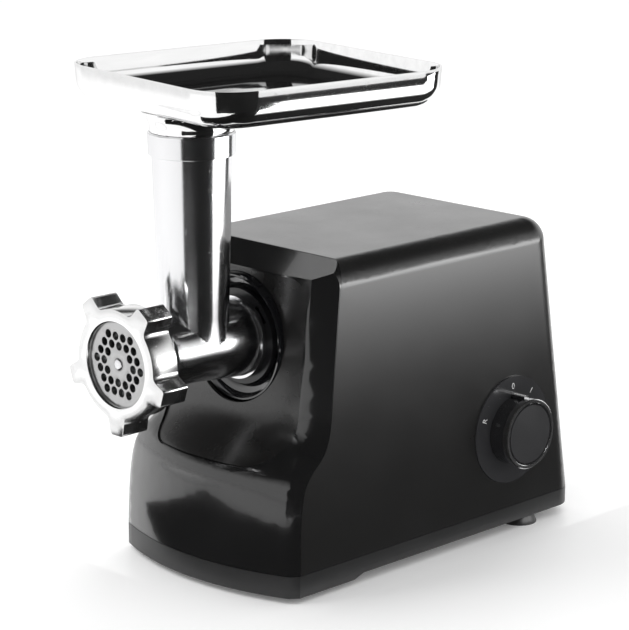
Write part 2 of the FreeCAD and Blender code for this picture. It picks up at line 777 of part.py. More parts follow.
def foot_screws():
    """One screw up the middle of each foot, its head sunk above the suction lip."""
    screws = []
    for x, y in foot_places():
        seat = foot_seat(y) + 4
        screws.append(z_cylinder(SCREW_RADIUS, seat - 2.0, seat + 4.0, x, y))
    return Part.Compound(screws)


def housing_screws():
    length = BASE_TOP + 12 - screw_seat()
    return Part.Compound([screw_down(x, y, screw_seat(), length) for x, y in housing_screw_places()])


def cord_inlet():
    """The grommet in the rear wall where a mains lead would enter."""
    wall = WALL / math.cos(math.atan(REAR_LEAN)) + 0.1
    profile = [
        (INLET_RADIUS, -wall - 4),
        (INLET_RADIUS, 2.6),
        (8.6, 2.6),
        (9.6, 1.4),
        (9.6, 0.05),
        (7.4, 0.05),
        (7.4, -wall),
        (9.2, -wall),
        (9.2, -wall - 4),
    ]
    return on_rear_wall(turned_y(profile, 0, 0))


# ---------------------------------------------------------------- gearbox


def gearbox_outline(inset, y, depth):
    left = GEARBOX_LEFT + inset
    right = GEARBOX_RIGHT - inset
    low = gearbox_low_z() + inset
    high = gearbox_high_z() - inset
    radius = 9.0 - inset
    corners = [(left, low, radius), (right, low, radius), (right, high, radius), (left, high, radius)]
    return prism(rounded_outline(corners, at_y(y)), Vector(0, depth, 0))


def gearbox_low_z():
    return MOTOR_Z - STATOR_HALF_HEIGHT


def gearbox_high_z():
    """High enough to clear the output gear."""
    return AXIS_HEIGHT + OUTPUT_MODULE * OUTPUT_TEETH / 2 + GEARBOX_WALL + 4.5


def gearbox_corner_places():
    inset = 8.0
    low = gearbox_low_z() + inset
    high = gearbox_high_z() - inset
    return [(x, z) for x in (GEARBOX_LEFT + inset, GEARBOX_RIGHT - inset) for z in (low, high)]


def gearbox_front():
    """Front half of the gear case, with the socket that takes the grinding head."""
    split = SECOND_GEAR_Y
    case = gearbox_outline(0, SOCKET_FLOOR_Y, split - SOCKET_FLOOR_Y)
    case = case.cut(gearbox_outline(GEARBOX_WALL, CAVITY_FRONT_Y, split - CAVITY_FRONT_Y))
    snout_radius = COLLAR_THROAT_RADIUS - 0.3
    snout = y_cylinder(snout_radius, SOCKET_FACE_Y, SOCKET_FLOOR_Y)
    posts = [y_cylinder(5, CAVITY_FRONT_Y, split, x, z) for x, z in gearbox_corner_places()]
    case = fused([case, snout] + posts)
    bore = SPIGOT_RADIUS + SPIGOT_FIT
    groove_y = HEAD_REAR_Y + 6.0
    cuts = [
        y_cylinder(bore, SOCKET_FACE_Y, SOCKET_FLOOR_Y),
        y_cylinder(bore + SPIGOT_LUG + 0.6, groove_y - 0.4, groove_y + 5.4),
        y_cylinder(DRIVE_SHAFT_RADIUS + SHAFT_FIT + BUSH_WALL, SOCKET_FLOOR_Y, CAVITY_FRONT_Y),
    ]
    cuts += entry_slots(groove_y, bore)
    for x, z in gearbox_corner_places():
        cuts.append(y_cylinder(SCREW_RADIUS + SCREW_FIT, SOCKET_FLOOR_Y - 1, split, x, z))
    cuts += axle_holes(CAVITY_FRONT_Y - 3, CAVITY_FRONT_Y)
    return case.cut(cuts)


def entry_slots(groove_y, bore):
    """Ways in for the bayonet lugs, at the angle where the head is put in."""
    reach = bore + SPIGOT_LUG + 0.6
    slots = []
    for side in (0, 180):
        slot = box(bore - 4, reach, SOCKET_FACE_Y - 1, groove_y, -6.5, 6.5)
        slot.translate(Vector(0, 0, AXIS_HEIGHT))
        slot.rotate(Vector(0, 0, AXIS_HEIGHT), Vector(0, 1, 0), -40 + side)
        slots.append(slot)
    return slots


def axle_holes(y0, y1):
    second = y_cylinder(SECOND_AXLE_RADIUS, y0, y1, *SECOND_AXLE)
    return [second, y_cylinder(FIRST_AXLE_RADIUS, y0, y1, *FIRST_AXLE)]


def gearbox_rear():
    """Rear half of the gear case; the motor is bolted to its back."""
    split = SECOND_GEAR_Y
    case = gearbox_outline(0, split, GEARBOX_REAR_Y - split)
    case = case.cut(gearbox_outline(GEARBOX_WALL, split, CAVITY_REAR_Y - split))
    posts = [y_cylinder(5, split, CAVITY_REAR_Y, x, z) for x, z in gearbox_corner_places()]
    posts += [y_cylinder(POST_RADIUS, GEARBOX_REAR_Y, STATOR_Y, x, z) for x, z in motor_bolt_places()]
    bearing_rear_y = bearing_front_y() + BEARING_WIDTH
    posts.append(y_cylinder(BEARING_RADIUS + 3, CAVITY_REAR_Y, bearing_rear_y, 0, MOTOR_Z))
    case = fused([case] + posts)
    cuts = [
        y_cylinder(DRIVE_TAIL_RADIUS + SHAFT_FIT + BUSH_WALL, CAVITY_REAR_Y, GEARBOX_REAR_Y + 1),
        y_cylinder(MOTOR_SHAFT_RADIUS + 1.5, CAVITY_REAR_Y - 1, GEARBOX_REAR_Y + 20, 0, MOTOR_Z),
        y_cylinder(BEARING_RADIUS, bearing_front_y(), bearing_rear_y + 1, 0, MOTOR_Z),
    ]
    for x, z in motor_bolt_places():
        cuts.append(y_cylinder(BOLT_RADIUS + SCREW_FIT, CAVITY_REAR_Y + 1.5, STATOR_Y + 1, x, z))
    for x, z in gearbox_corner_places():
        cuts.append(y_cylinder(SCREW_RADIUS + SCREW_FIT, split - 1, CAVITY_REAR_Y, x, z))
    cuts += axle_holes(CAVITY_REAR_Y, CAVITY_REAR_Y + 3)
    return case.cut(cuts)


def bearing_front_y():
    return CAVITY_REAR_Y + 2.0


def gearbox_screws():
    length = CAVITY_REAR_Y - 2 - SOCKET_FLOOR_Y
    places = gearbox_corner_places()
    return Part.Compound([screw_back(x, z, SOCKET_FLOOR_Y, length) for x, z in places])


def output_bush_front():
    outer = DRIVE_SHAFT_RADIUS + SHAFT_FIT + BUSH_WALL
    return y_ring(outer, DRIVE_SHAFT_RADIUS + SHAFT_FIT, SOCKET_FLOOR_Y, CAVITY_FRONT_Y)


def output_bush_rear():
    outer = DRIVE_TAIL_RADIUS + SHAFT_FIT + BUSH_WALL
    return y_ring(outer, DRIVE_TAIL_RADIUS + SHAFT_FIT, CAVITY_REAR_Y, GEARBOX_REAR_Y)


def gear_axles():
    """The two fixed pins that the double gears turn on."""
    y0 = CAVITY_FRONT_Y - 3
    y1 = CAVITY_REAR_Y + 3
    return Part.Compound(axle_holes(y0, y1))


def gearbox_stand():
    """Bracket that carries the gear case on the base."""
    top = gearbox_low_z()
    floor = BASE_BOTTOM + BASE_STEP + WALL
    front = SOCKET_FLOOR_Y + 6
    rear = GEARBOX_REAR_Y - 4
    block = box(-38, 42, front, rear, floor, top)
    return block.cut(box(-32, 36, front - 1, rear + 1, floor + 4, top - 4))


# ---------------------------------------------------------------- gears


def involute(angle):
    return math.tan(angle) - angle


def tooth_half_angle(radius, pitch_radius, base_radius, thickness):
    pressure = math.acos(min(1.0, base_radius / max(radius, base_radius)))
    return thickness / (2 * pitch_radius) + involute(PRESSURE_ANGLE) - involute(pressure)


def gear_solid(centre, module, teeth, shift, turn, y0, width):
    """A spur gear along Y; turn is the angle from +X towards +Z of one tooth's middle."""
    pitch_radius = module * teeth / 2
    base_radius = pitch_radius * math.cos(PRESSURE_ANGLE)
    tip_radius = pitch_radius + module * (1 + shift) - 0.02
    root_radius = pitch_radius - module * (1.25 - shift)
    thickness = module * (math.pi / 2 + 2 * shift * math.tan(PRESSURE_ANGLE)) - BACKLASH / 2
    start_radius = max(base_radius, root_radius)
    steps = [start_radius + (tip_radius - start_radius) * t for t in (0, 0.15, 0.5, 1.0)]
    flank = [(r, tooth_half_angle(r, pitch_radius, base_radius, thickness)) for r in steps]

    def spot(radius, angle):
        return Vector(centre[0] + radius * math.cos(angle), y0, centre[1] + radius * math.sin(angle))

    edges = []
    step = 2 * math.pi / teeth
    for i in range(teeth):
        middle = turn + i * step
        rising = Part.BSplineCurve()
        rising.interpolate([spot(r, middle - half) for r, half in flank])
        falling = Part.BSplineCurve()
        falling.interpolate([spot(r, middle + half) for r, half in reversed(flank)])
        edges.append(rising.toShape())
        tip = flank[-1][1]
        land = [spot(tip_radius, middle + side * tip) for side in (-1, 0, 1)]
        edges.append(Part.Arc(*land).toShape())
        edges.append(falling.toShape())
        root = flank[0][1]
        here = spot(root_radius, middle + root)
        if root_radius < base_radius:
            edges.append(Part.makeLine(spot(base_radius, middle + root), here))
        across = spot(root_radius, middle + step / 2)
        there = spot(root_radius, middle + step - root)
        edges.append(Part.Arc(here, across, there).toShape())
        if root_radius < base_radius:
            edges.append(Part.makeLine(there, spot(base_radius, middle + step - root)))
    return Part.Face(Part.Wire(edges)).extrude(Vector(0, width, 0))


def mating_turn(turn, teeth, mate_teeth, centre, mate_centre):
    """Tooth angle of a mate that is in mesh with a gear whose tooth angle is given."""
    line = math.atan2(mate_centre[1] - centre[1], mate_centre[0] - centre[0])
    return line + math.pi + math.pi / mate_teeth - (turn - line) * teeth / mate_teeth


OUTPUT_SHIFT = 0.30          # profile shift, pinion plus and gear minus
SECOND_SHIFT = 0.30
FIRST_SHIFT = 0.48
OUTPUT_CENTRE = (0.0, AXIS_HEIGHT)
MOTOR_CENTRE = (0.0, MOTOR_Z)


def output_gear():
    y0 = OUTPUT_GEAR_Y
    y1 = OUTPUT_GEAR_Y + OUTPUT_GEAR_WIDTH
    gear = gear_solid(
        OUTPUT_CENTRE, OUTPUT_MODULE, OUTPUT_TEETH, -OUTPUT_SHIFT, 0, y0, OUTPUT_GEAR_WIDTH
    )
    return gear.cut([y_ring(34, 15, y0 + 11, y1), y_cylinder(DRIVE_SHAFT_RADIUS, y0, y1)])


def second_gear():
    """Double gear: a small pinion under the output gear and a large gear behind it."""
    y0 = CAVITY_FRONT_Y + 0.5
    turn = mating_turn(0, OUTPUT_TEETH, SECOND_PINION_TEETH, OUTPUT_CENTRE, SECOND_AXLE)
    pinion = gear_solid(
        SECOND_AXLE, OUTPUT_MODULE, SECOND_PINION_TEETH, OUTPUT_SHIFT, turn, y0, SECOND_GEAR_Y - y0
    )
    wheel = gear_solid(
        SECOND_AXLE, SECOND_MODULE, SECOND_TEETH, -SECOND_SHIFT, 0, SECOND_GEAR_Y, SECOND_GEAR_WIDTH
    )
    hub = y_cylinder(SECOND_AXLE_RADIUS + 2, SECOND_GEAR_Y, CAVITY_REAR_Y - 0.5, *SECOND_AXLE)
    bore = y_cylinder(SECOND_AXLE_RADIUS + SHAFT_FIT, CAVITY_FRONT_Y, CAVITY_REAR_Y, *SECOND_AXLE)
    return fused([pinion, wheel, hub]).cut(bore)


def first_gear():
    """Double gear: a small pinion under the second gear and a large gear on the motor pinion."""
    y0 = SECOND_GEAR_Y - 1
    turn = mating_turn(0, SECOND_TEETH, FIRST_PINION_TEETH, SECOND_AXLE, FIRST_AXLE)
    pinion = gear_solid(
        FIRST_AXLE, SECOND_MODULE, FIRST_PINION_TEETH, SECOND_SHIFT, turn, y0, FIRST_GEAR_Y - y0
    )
    wheel = gear_solid(
        FIRST_AXLE, FIRST_MODULE, FIRST_TEETH, -FIRST_SHIFT, 0, FIRST_GEAR_Y, FIRST_GEAR_WIDTH
    )
    front_hub = y_cylinder(FIRST_AXLE_RADIUS + 2, CAVITY_FRONT_Y + 0.5, y0, *FIRST_AXLE)
    rear_hub = y_cylinder(FIRST_AXLE_RADIUS + 2, FIRST_GEAR_Y, CAVITY_REAR_Y - 0.5, *FIRST_AXLE)
    bore = y_cylinder(FIRST_AXLE_RADIUS + SHAFT_FIT, CAVITY_FRONT_Y, CAVITY_REAR_Y, *FIRST_AXLE)
    return fused([pinion, wheel, front_hub, rear_hub]).cut(bore)


def motor_pinion():
    y0 = FIRST_GEAR_Y - 1
    width = FIRST_GEAR_WIDTH + 2
    turn = mating_turn(0, FIRST_TEETH, MOTOR_PINION_TEETH, FIRST_AXLE, MOTOR_CENTRE)
    pinion = gear_solid(MOTOR_CENTRE, FIRST_MODULE, MOTOR_PINION_TEETH, FIRST_SHIFT, turn, y0, width)
    return pinion.cut(y_cylinder(PINION_SEAT_RADIUS, y0, y0 + width, *MOTOR_CENTRE))


def drive_shaft():
    """Output shaft: a square socket in front for the auger's tail, and a seat for the gear."""
    front = SOCKET_FLOOR_Y - 0.5 - TAIL_LENGTH
    seat_end = OUTPUT_GEAR_Y + OUTPUT_GEAR_WIDTH + 1
    shaft = fused([
        y_cylinder(DRIVE_HEAD_RADIUS, front, SOCKET_FLOOR_Y - 0.5),
        y_cylinder(DRIVE_SHAFT_RADIUS, SOCKET_FLOOR_Y - 0.5, seat_end),
        y_cylinder(DRIVE_TAIL_RADIUS, seat_end, GEARBOX_REAR_Y + 1),
    ])
    half = TAIL_SQUARE / 2 + 0.1
    socket = box(-half, half, front, front + TAIL_LENGTH, AXIS_HEIGHT - half, AXIS_HEIGHT + half)
    return shaft.cut(socket)


# ---------------------------------------------------------------- motor


def motor_bolt_places():
    return [(sx * POST_X, MOTOR_Z + sz * POST_Z) for sx in (-1, 1) for sz in (-1, 1)]


def bearing(y0):
    return y_ring(BEARING_RADIUS, MOTOR_SHAFT_RADIUS + 0.03, y0, y0 + BEARING_WIDTH, 0, MOTOR_Z)


def motor_bearings():
    return Part.Compound([bearing(bearing_front_y()), bearing(BRACKET_Y)])


def stator_core():
    """Laminated field core with the rotor's bore and windows for the coils."""
    corners = [
        (-STATOR_HALF_WIDTH, MOTOR_Z - STATOR_HALF_HEIGHT, 12),
        (STATOR_HALF_WIDTH, MOTOR_Z - STATOR_HALF_HEIGHT, 12),
        (STATOR_HALF_WIDTH, MOTOR_Z + STATOR_HALF_HEIGHT, 12),
        (-STATOR_HALF_WIDTH, MOTOR_Z + STATOR_HALF_HEIGHT, 12),
    ]
    core = prism(rounded_outline(corners, at_y(STATOR_Y)), Vector(0, STATOR_LENGTH, 0))
    end = STATOR_Y + STATOR_LENGTH
    cuts = [y_cylinder(ROTOR_RADIUS + AIR_GAP, STATOR_Y, end, 0, MOTOR_Z)]
    cuts += [y_cylinder(BOLT_RADIUS + SCREW_FIT, STATOR_Y, end, x, z) for x, z in motor_bolt_places()]
    for side in (-1, 1):
        for up in (-1, 1):
            x0, x1 = sorted((side * COIL_INNER, side * COIL_OUTER))
            z0, z1 = sorted((up * COIL_LOW, up * COIL_HIGH))
            cuts.append(box(x0, x1, STATOR_Y, end, MOTOR_Z + z0, MOTOR_Z + z1))
    return core.cut(cuts)


def field_coils():
    """Two flat windings that pass through the core's windows and turn round its ends."""
    y0 = STATOR_Y - COIL_END
    y1 = STATOR_Y + STATOR_LENGTH + COIL_END
    gap = 0.2
    coils = []
    for up in (-1, 1):
        z0, z1 = sorted((up * (COIL_LOW + gap), up * (COIL_HIGH - gap)))
        low = MOTOR_Z + z0
        high = MOTOR_Z + z1
        outer = box(gap - COIL_OUTER, COIL_OUTER - gap, y0, y1, low, high)
        half = COIL_INNER + gap
        inner = box(-half, half, STATOR_Y - gap, y1 - COIL_END + gap, low, high)
        coils.append(outer.cut(inner))
    return Part.Compound(coils)


def rotor_core():
    """Slotted armature; its windings fill the slots' ends."""
    end = STATOR_Y + STATOR_LENGTH
    core = y_cylinder(ROTOR_RADIUS, STATOR_Y, end, 0, MOTOR_Z)
    slots = []
    for i in range(ROTOR_SLOTS):
        slot = box(15, ROTOR_RADIUS + 1, STATOR_Y, end, MOTOR_Z - 1.6, MOTOR_Z + 1.6)
        slot.rotate(Vector(0, 0, MOTOR_Z), Vector(0, 1, 0), i * 360 / ROTOR_SLOTS)
        slots.append(slot)
    slots.append(y_cylinder(MOTOR_SHAFT_RADIUS, STATOR_Y, end, 0, MOTOR_Z))
    return core.cut(slots)


def rotor_windings():
    """The copper at both ends of the armature."""
    end = STATOR_Y + STATOR_LENGTH
    front = y_ring(19.5, MOTOR_SHAFT_RADIUS, STATOR_Y - 8, STATOR_Y, 0, MOTOR_Z)
    return Part.Compound([front, y_ring(19.5, MOTOR_SHAFT_RADIUS, end, end + 9, 0, MOTOR_Z)])


def commutator():
    y0 = COMMUTATOR_Y
    y1 = COMMUTATOR_Y + COMMUTATOR_LENGTH
    ring = y_ring(COMMUTATOR_RADIUS, MOTOR_SHAFT_RADIUS, y0, y1, 0, MOTOR_Z)
    grooves = []
    for i in range(2 * ROTOR_SLOTS):
        cut = box(COMMUTATOR_RADIUS - 1, COMMUTATOR_RADIUS + 1, y0, y1, MOTOR_Z - 0.3, MOTOR_Z + 0.3)
        cut.rotate(Vector(0, 0, MOTOR_Z), Vector(0, 1, 0), i * 180 / ROTOR_SLOTS)
        grooves.append(cut)
    return ring.cut(grooves)


def motor_shaft():
    end = BRACKET_Y + BEARING_WIDTH + 2
    seat_end = FIRST_GEAR_Y + FIRST_GEAR_WIDTH + 1
    thin = y_cylinder(PINION_SEAT_RADIUS, FIRST_GEAR_Y - 1, seat_end, 0, MOTOR_Z)
    return fused([thin, y_cylinder(MOTOR_SHAFT_RADIUS, seat_end, end, 0, MOTOR_Z)])


def cooling_fan():
    """Radial fan behind the gear case: a disc with straight blades."""
    parts = [y_cylinder(FAN_RADIUS, FAN_Y + FAN_WIDTH - 2, FAN_Y + FAN_WIDTH, 0, MOTOR_Z)]
    parts.append(y_cylinder(9, FAN_Y, FAN_Y + FAN_WIDTH, 0, MOTOR_Z))
    for i in range(FAN_BLADES):
        blade = box(8, FAN_RADIUS - 0.5, FAN_Y, FAN_Y + FAN_WIDTH - 1, MOTOR_Z - 0.8, MOTOR_Z + 0.8)
        blade.rotate(Vector(0, 0, MOTOR_Z), Vector(0, 1, 0), i * 360 / FAN_BLADES)
        parts.append(blade)
    return fused(parts).cut(y_cylinder(MOTOR_SHAFT_RADIUS, FAN_Y, FAN_Y + FAN_WIDTH, 0, MOTOR_Z))


def motor_bracket():
    """Rear end plate of the motor, with posts forward to the core and a seat for the bearing."""
    end = STATOR_Y + STATOR_LENGTH
    half = STATOR_HALF_WIDTH
    low = MOTOR_Z - STATOR_HALF_HEIGHT
    top = MOTOR_Z + STATOR_HALF_HEIGHT
    corners = [(-half, low, 10), (half, low, 10), (half, top, 10), (-half, top, 10)]
    plate = prism(rounded_outline(corners, at_y(BRACKET_Y)), Vector(0, BRACKET_THICKNESS, 0))
    posts = [y_cylinder(POST_RADIUS, end, BRACKET_Y, x, z) for x, z in motor_bolt_places()]
    seat = y_cylinder(BEARING_RADIUS + 3, BRACKET_Y, BRACKET_Y + BEARING_WIDTH + 1.5, 0, MOTOR_Z)
    body = fused([plate, seat] + posts)
    cuts = [y_cylinder(BEARING_RADIUS, BRACKET_Y - 1, BRACKET_Y + BEARING_WIDTH, 0, MOTOR_Z)]
    cuts.append(y_cylinder(MOTOR_SHAFT_RADIUS + 1, BRACKET_Y, BRACKET_Y + 20, 0, MOTOR_Z))
    for x, z in motor_bolt_places():
        cuts.append(y_cylinder(BOLT_RADIUS + SCREW_FIT, end, BRACKET_Y + 10, x, z))
    for x in (-26, 26):
        cuts.append(box(x - 8, x + 8, BRACKET_Y - 1, BRACKET_Y + 8, MOTOR_Z - 12, MOTOR_Z + 12))
    return body.cut(cuts)


def motor_bolts():
    """Four long bolts from the rear bracket through the core into the gear case."""
    bolts = []
    head_y = BRACKET_Y + BRACKET_THICKNESS
    for x, z in motor_bolt_places():
        shank = y_cylinder(BOLT_RADIUS, CAVITY_REAR_Y + 2, head_y, x, z)
        bolts.append(fused([shank, y_cylinder(4.2, head_y, head_y + 3, x, z)]))
    return Part.Compound(bolts)


def brush_holders():
    """Two boxes on the rear bracket that guide the brushes."""
    holders = []
    for side in (-1, 1):
        x0, x1 = sorted((side * 13, side * 33))
        shell = box(x0, x1, 99, 107, MOTOR_Z - 5, MOTOR_Z + 5)
        slot = box(x0 - 1, x1 + 1, 100.5, 105.5, MOTOR_Z - 3.5, MOTOR_Z + 3.5)
        a0, a1 = sorted((side * 14, side * 17.5))
        arm = box(a0, a1, 107, BRACKET_Y, MOTOR_Z - 5, MOTOR_Z + 5)
        holders.append(fused([shell, arm]).cut(slot))
    return Part.Compound(holders)


def carbon_brushes():
    brushes = []
    for side in (-1, 1):
        x0, x1 = sorted((side * 10, side * 27))
        block = box(x0, x1, 100.6, 105.4, MOTOR_Z - 3.4, MOTOR_Z + 3.4)
        brushes.append(block.cut(y_cylinder(COMMUTATOR_RADIUS + 0.08, 99, 107, 0, MOTOR_Z)))
    return Part.Compound(brushes)


def motor_cradle():
    """Rest under the motor's core."""
    floor = BASE_BOTTOM + BASE_STEP + WALL
    top = MOTOR_Z - STATOR_HALF_HEIGHT
    block = box(-26, 26, STATOR_Y + 4, STATOR_Y + STATOR_LENGTH - 26, floor, top)
    return block.cut(box(-20, 20, STATOR_Y, STATOR_Y + STATOR_LENGTH, floor + 3, top - 3))


# ---------------------------------------------------------------- switch and knob


def knob_y():
    return REAR_Y - KNOB_FROM_REAR


def dial_face_x():
    return side_x(KNOB_Z) + DIAL_PROUD


def knob_cylinder(radius, x0, x1):
    """A cylinder round the knob's axis."""
    return x_cylinder(radius, x0, x1, knob_y(), KNOB_Z)


def dial_plate():
    """Round plate let into the shell's side under the knob."""
    face = dial_face_x()
    inner = side_x(KNOB_Z) - WALL
    rim = knob_cylinder(DIAL_RADIUS, face - DIAL_RIM, face)
    body = knob_cylinder(DIAL_RADIUS - 4 - SHELL_GAP, inner - 3, face - 1)
    hollow = knob_cylinder(DIAL_RADIUS - 8, inner - 4, face - 3)
    return fused([rim, body]).cut([hollow, knob_cylinder(SPINDLE_RADIUS + 0.3, inner - 5, face + 1)])


def rotary_switch():
    """Three-position switch behind the dial plate."""
    inner = side_x(KNOB_Z) - WALL - 3
    body = box(inner - 20, inner - 0.5, knob_y() - 15, knob_y() + 15, KNOB_Z - 15, KNOB_Z + 15)
    return body.cut(knob_cylinder(SPINDLE_RADIUS + SHAFT_FIT, inner - 14, inner))


def knob_spindle():
    start = side_x(KNOB_Z) - WALL - 3 - 13.5
    return knob_cylinder(SPINDLE_RADIUS, start, dial_face_x() + 8)


def knob():
    """Round knob with a pointer nub along its top."""
    low = dial_face_x() + KNOB_GAP
    front = dial_face_x() + KNOB_REACH
    ring_rear = front - KNOB_RING_DEPTH
    outer = knob_cylinder(KNOB_RADIUS - KNOB_RING, low, front - 0.4)
    skirt = knob_cylinder(KNOB_RADIUS - 0.8, low, ring_rear)
    tip = KNOB_Z + KNOB_RADIUS + 1.6
    nub = box(low, ring_rear, knob_y() - 2.4, knob_y() + 2.4, KNOB_Z, tip)
    recess_x = front - KNOB_FACE_DEPTH - 0.4
    recess = knob_cylinder(KNOB_RADIUS - KNOB_RING - 1.2, recess_x, front + 1)
    seat = knob_cylinder(SPINDLE_RADIUS, dial_face_x(), dial_face_x() + 8)
    return fused([outer, skirt, nub]).cut([recess, seat])


def knob_ring():
    """Bright ring round the knob's front edge."""
    front = dial_face_x() + KNOB_REACH
    ring = knob_cylinder(KNOB_RADIUS, front - KNOB_RING_DEPTH, front)
    ring = ring.cut(knob_cylinder(KNOB_RADIUS - KNOB_RING, 0, front + 30))
    return ring.makeChamfer(0.5, [e for e in ring.Edges if is_front_rim(e, front)])


def is_front_rim(edge, x):
    return abs(edge.BoundBox.XMin - x) < 1e-4 and abs(edge.BoundBox.XMax - x) < 1e-4


def knob_face():
    face = dial_face_x() + KNOB_REACH - KNOB_FACE_DEPTH - 0.4
    return knob_cylinder(KNOB_RADIUS - KNOB_RING - 1.3, face, face + KNOB_FACE_DEPTH)


def circuit_board():
    """Filter board on the shell's left, inside, with its capacitor and choke."""
    x = -side_x(BASE_TOP + 40) + WALL + 6
    board = box(x, x + 1.6, 30, 100, BASE_TOP + 8, BASE_TOP + 58)
    capacitor = box(x + 1.6, x + 14, 40, 62, BASE_TOP + 16, BASE_TOP + 34)
    choke = x_cylinder(9, x + 1.6, x + 12, 84, BASE_TOP + 26)
    legs = [box(x - 5, x, y, y + 5, BASE_BOTTOM + BASE_STEP + WALL, BASE_TOP + 16) for y in (34, 90)]
    return fused([board, capacitor, choke] + legs)


# ---------------------------------------------------------------- release button


def button_face_y():
    return panel_middle_y() + 1.5


def release_button():
    """Round push button that frees the head, with its stem and collar."""
    face = button_face_y()
    rear = face + BUTTON_DEPTH
    cap = y_cylinder(BUTTON_RADIUS, face - BUTTON_PROUD, rear, BUTTON_X, BUTTON_Z)
    edges = [e for e in cap.Edges if abs(e.BoundBox.YMax - (face - BUTTON_PROUD)) < 1e-4]
    cap = cap.makeFillet(1.5, edges)
    stem = y_cylinder(3, rear, SOCKET_FLOOR_Y - 4.5, BUTTON_X, BUTTON_Z)
    return fused([cap, stem])


def latch_pin():
    """Locking pin carried by the button's stem, beside the socket."""
    y0 = button_face_y() + BUTTON_DEPTH
    y1 = y0 + LATCH_THICKNESS
    angle = math.atan2(AXIS_HEIGHT - BUTTON_Z, -BUTTON_X)
    reach = math.hypot(BUTTON_X, AXIS_HEIGHT - BUTTON_Z) - COLLAR_RADIUS + 1.5
    bar = box(2, max(3.5, reach), y0, y1, -2, 2)
    ring = y_cylinder(5, y0, y1, 0, 0).cut(y_cylinder(3, y0, y1, 0, 0))
    latch = fused([ring, bar.cut(y_cylinder(3, y0, y1, 0, 0))])
    latch.rotate(Vector(0, 0, 0), Vector(0, 1, 0), -math.degrees(angle))
    latch.translate(Vector(BUTTON_X, 0, BUTTON_Z))
    return latch


def latch_guide():
    """Bracket on the gear case that guides the button's stem and backs its spring."""
    y0 = SOCKET_FLOOR_Y - 4
    post = y_cylinder(6.5, y0, SOCKET_FLOOR_Y, BUTTON_X, BUTTON_Z)
    return post.cut(y_cylinder(3.3, y0, SOCKET_FLOOR_Y, BUTTON_X, BUTTON_Z))


def release_spring():
    """Return spring between the guide and the latch, as a thin sleeve of its outside size."""
    y0 = button_face_y() + BUTTON_DEPTH + LATCH_THICKNESS + 0.3
    return y_ring(4.4, 3.4, y0, SOCKET_FLOOR_Y - 4.2, BUTTON_X, BUTTON_Z)


# ---------------------------------------------------------------- grinding head


def barrel_outside():
    """Outside of the barrel from its mouth to the flange and spigot."""
    neck = NUT_REAR_Y + 0.5
    profile = [
        (0, MOUTH_FRONT_Y),
        (MOUTH_RADIUS, MOUTH_FRONT_Y),
        (MOUTH_RADIUS, neck),
        (MOUTH_RADIUS - 3.5, neck + 3.5),
        (BARREL_FRONT_RADIUS + 2.5, neck + 8),
        (BARREL_FRONT_RADIUS + 0.6, neck + 12),
        (BARREL_FRONT_RADIUS, neck + 18),
        (BARREL_FRONT_RADIUS + 0.6, TUBE_Y - 4),
        (BARREL_FRONT_RADIUS + 1.8, TUBE_Y + 12),
        (BARREL_REAR_RADIUS - 0.4, HEAD_REAR_Y - 7),
        (BARREL_REAR_RADIUS, HEAD_REAR_Y - 3),
        (FLANGE_RADIUS, HEAD_REAR_Y - 3),
        (FLANGE_RADIUS, HEAD_REAR_Y + 1.6),
        (SPIGOT_RADIUS, HEAD_REAR_Y + 1.6),
        (SPIGOT_RADIUS, HEAD_REAR_Y + SPIGOT_LENGTH),
        (0, HEAD_REAR_Y + SPIGOT_LENGTH),
    ]
    return turned_y(profile)


def tube_outside():
    """Outside of the feed tube: tapered, with a straight band round its top."""
    band_low = TUBE_TOP_Z - COLLAR_BAND
    profile = [
        (0, AXIS_HEIGHT),
        (TUBE_FOOT_RADIUS, AXIS_HEIGHT),
        (TUBE_FOOT_RADIUS, AXIS_HEIGHT + BARREL_FRONT_RADIUS),
        (TUBE_TOP_RADIUS, band_low),
        (COLLAR_BAND_RADIUS, band_low + 0.8),
        (COLLAR_BAND_RADIUS + 0.3, TUBE_TOP_Z - 1.0),
        (COLLAR_BAND_RADIUS - 0.6, TUBE_TOP_Z),
        (0, TUBE_TOP_Z),
    ]
    return turned_z(profile, 0, TUBE_Y)


def near_joint(edge):
    """Whether an edge is the crease where the tube meets the barrel."""
    box_of = edge.BoundBox
    high = AXIS_HEIGHT + BARREL_FRONT_RADIUS - 14 < box_of.ZMin
    low = box_of.ZMax < AXIS_HEIGHT + BARREL_REAR_RADIUS + 6
    beside = abs((box_of.YMin + box_of.YMax) / 2 - TUBE_Y) < 6
    wide = box_of.YMax - box_of.YMin > TUBE_FOOT_RADIUS
    return high and low and beside and wide


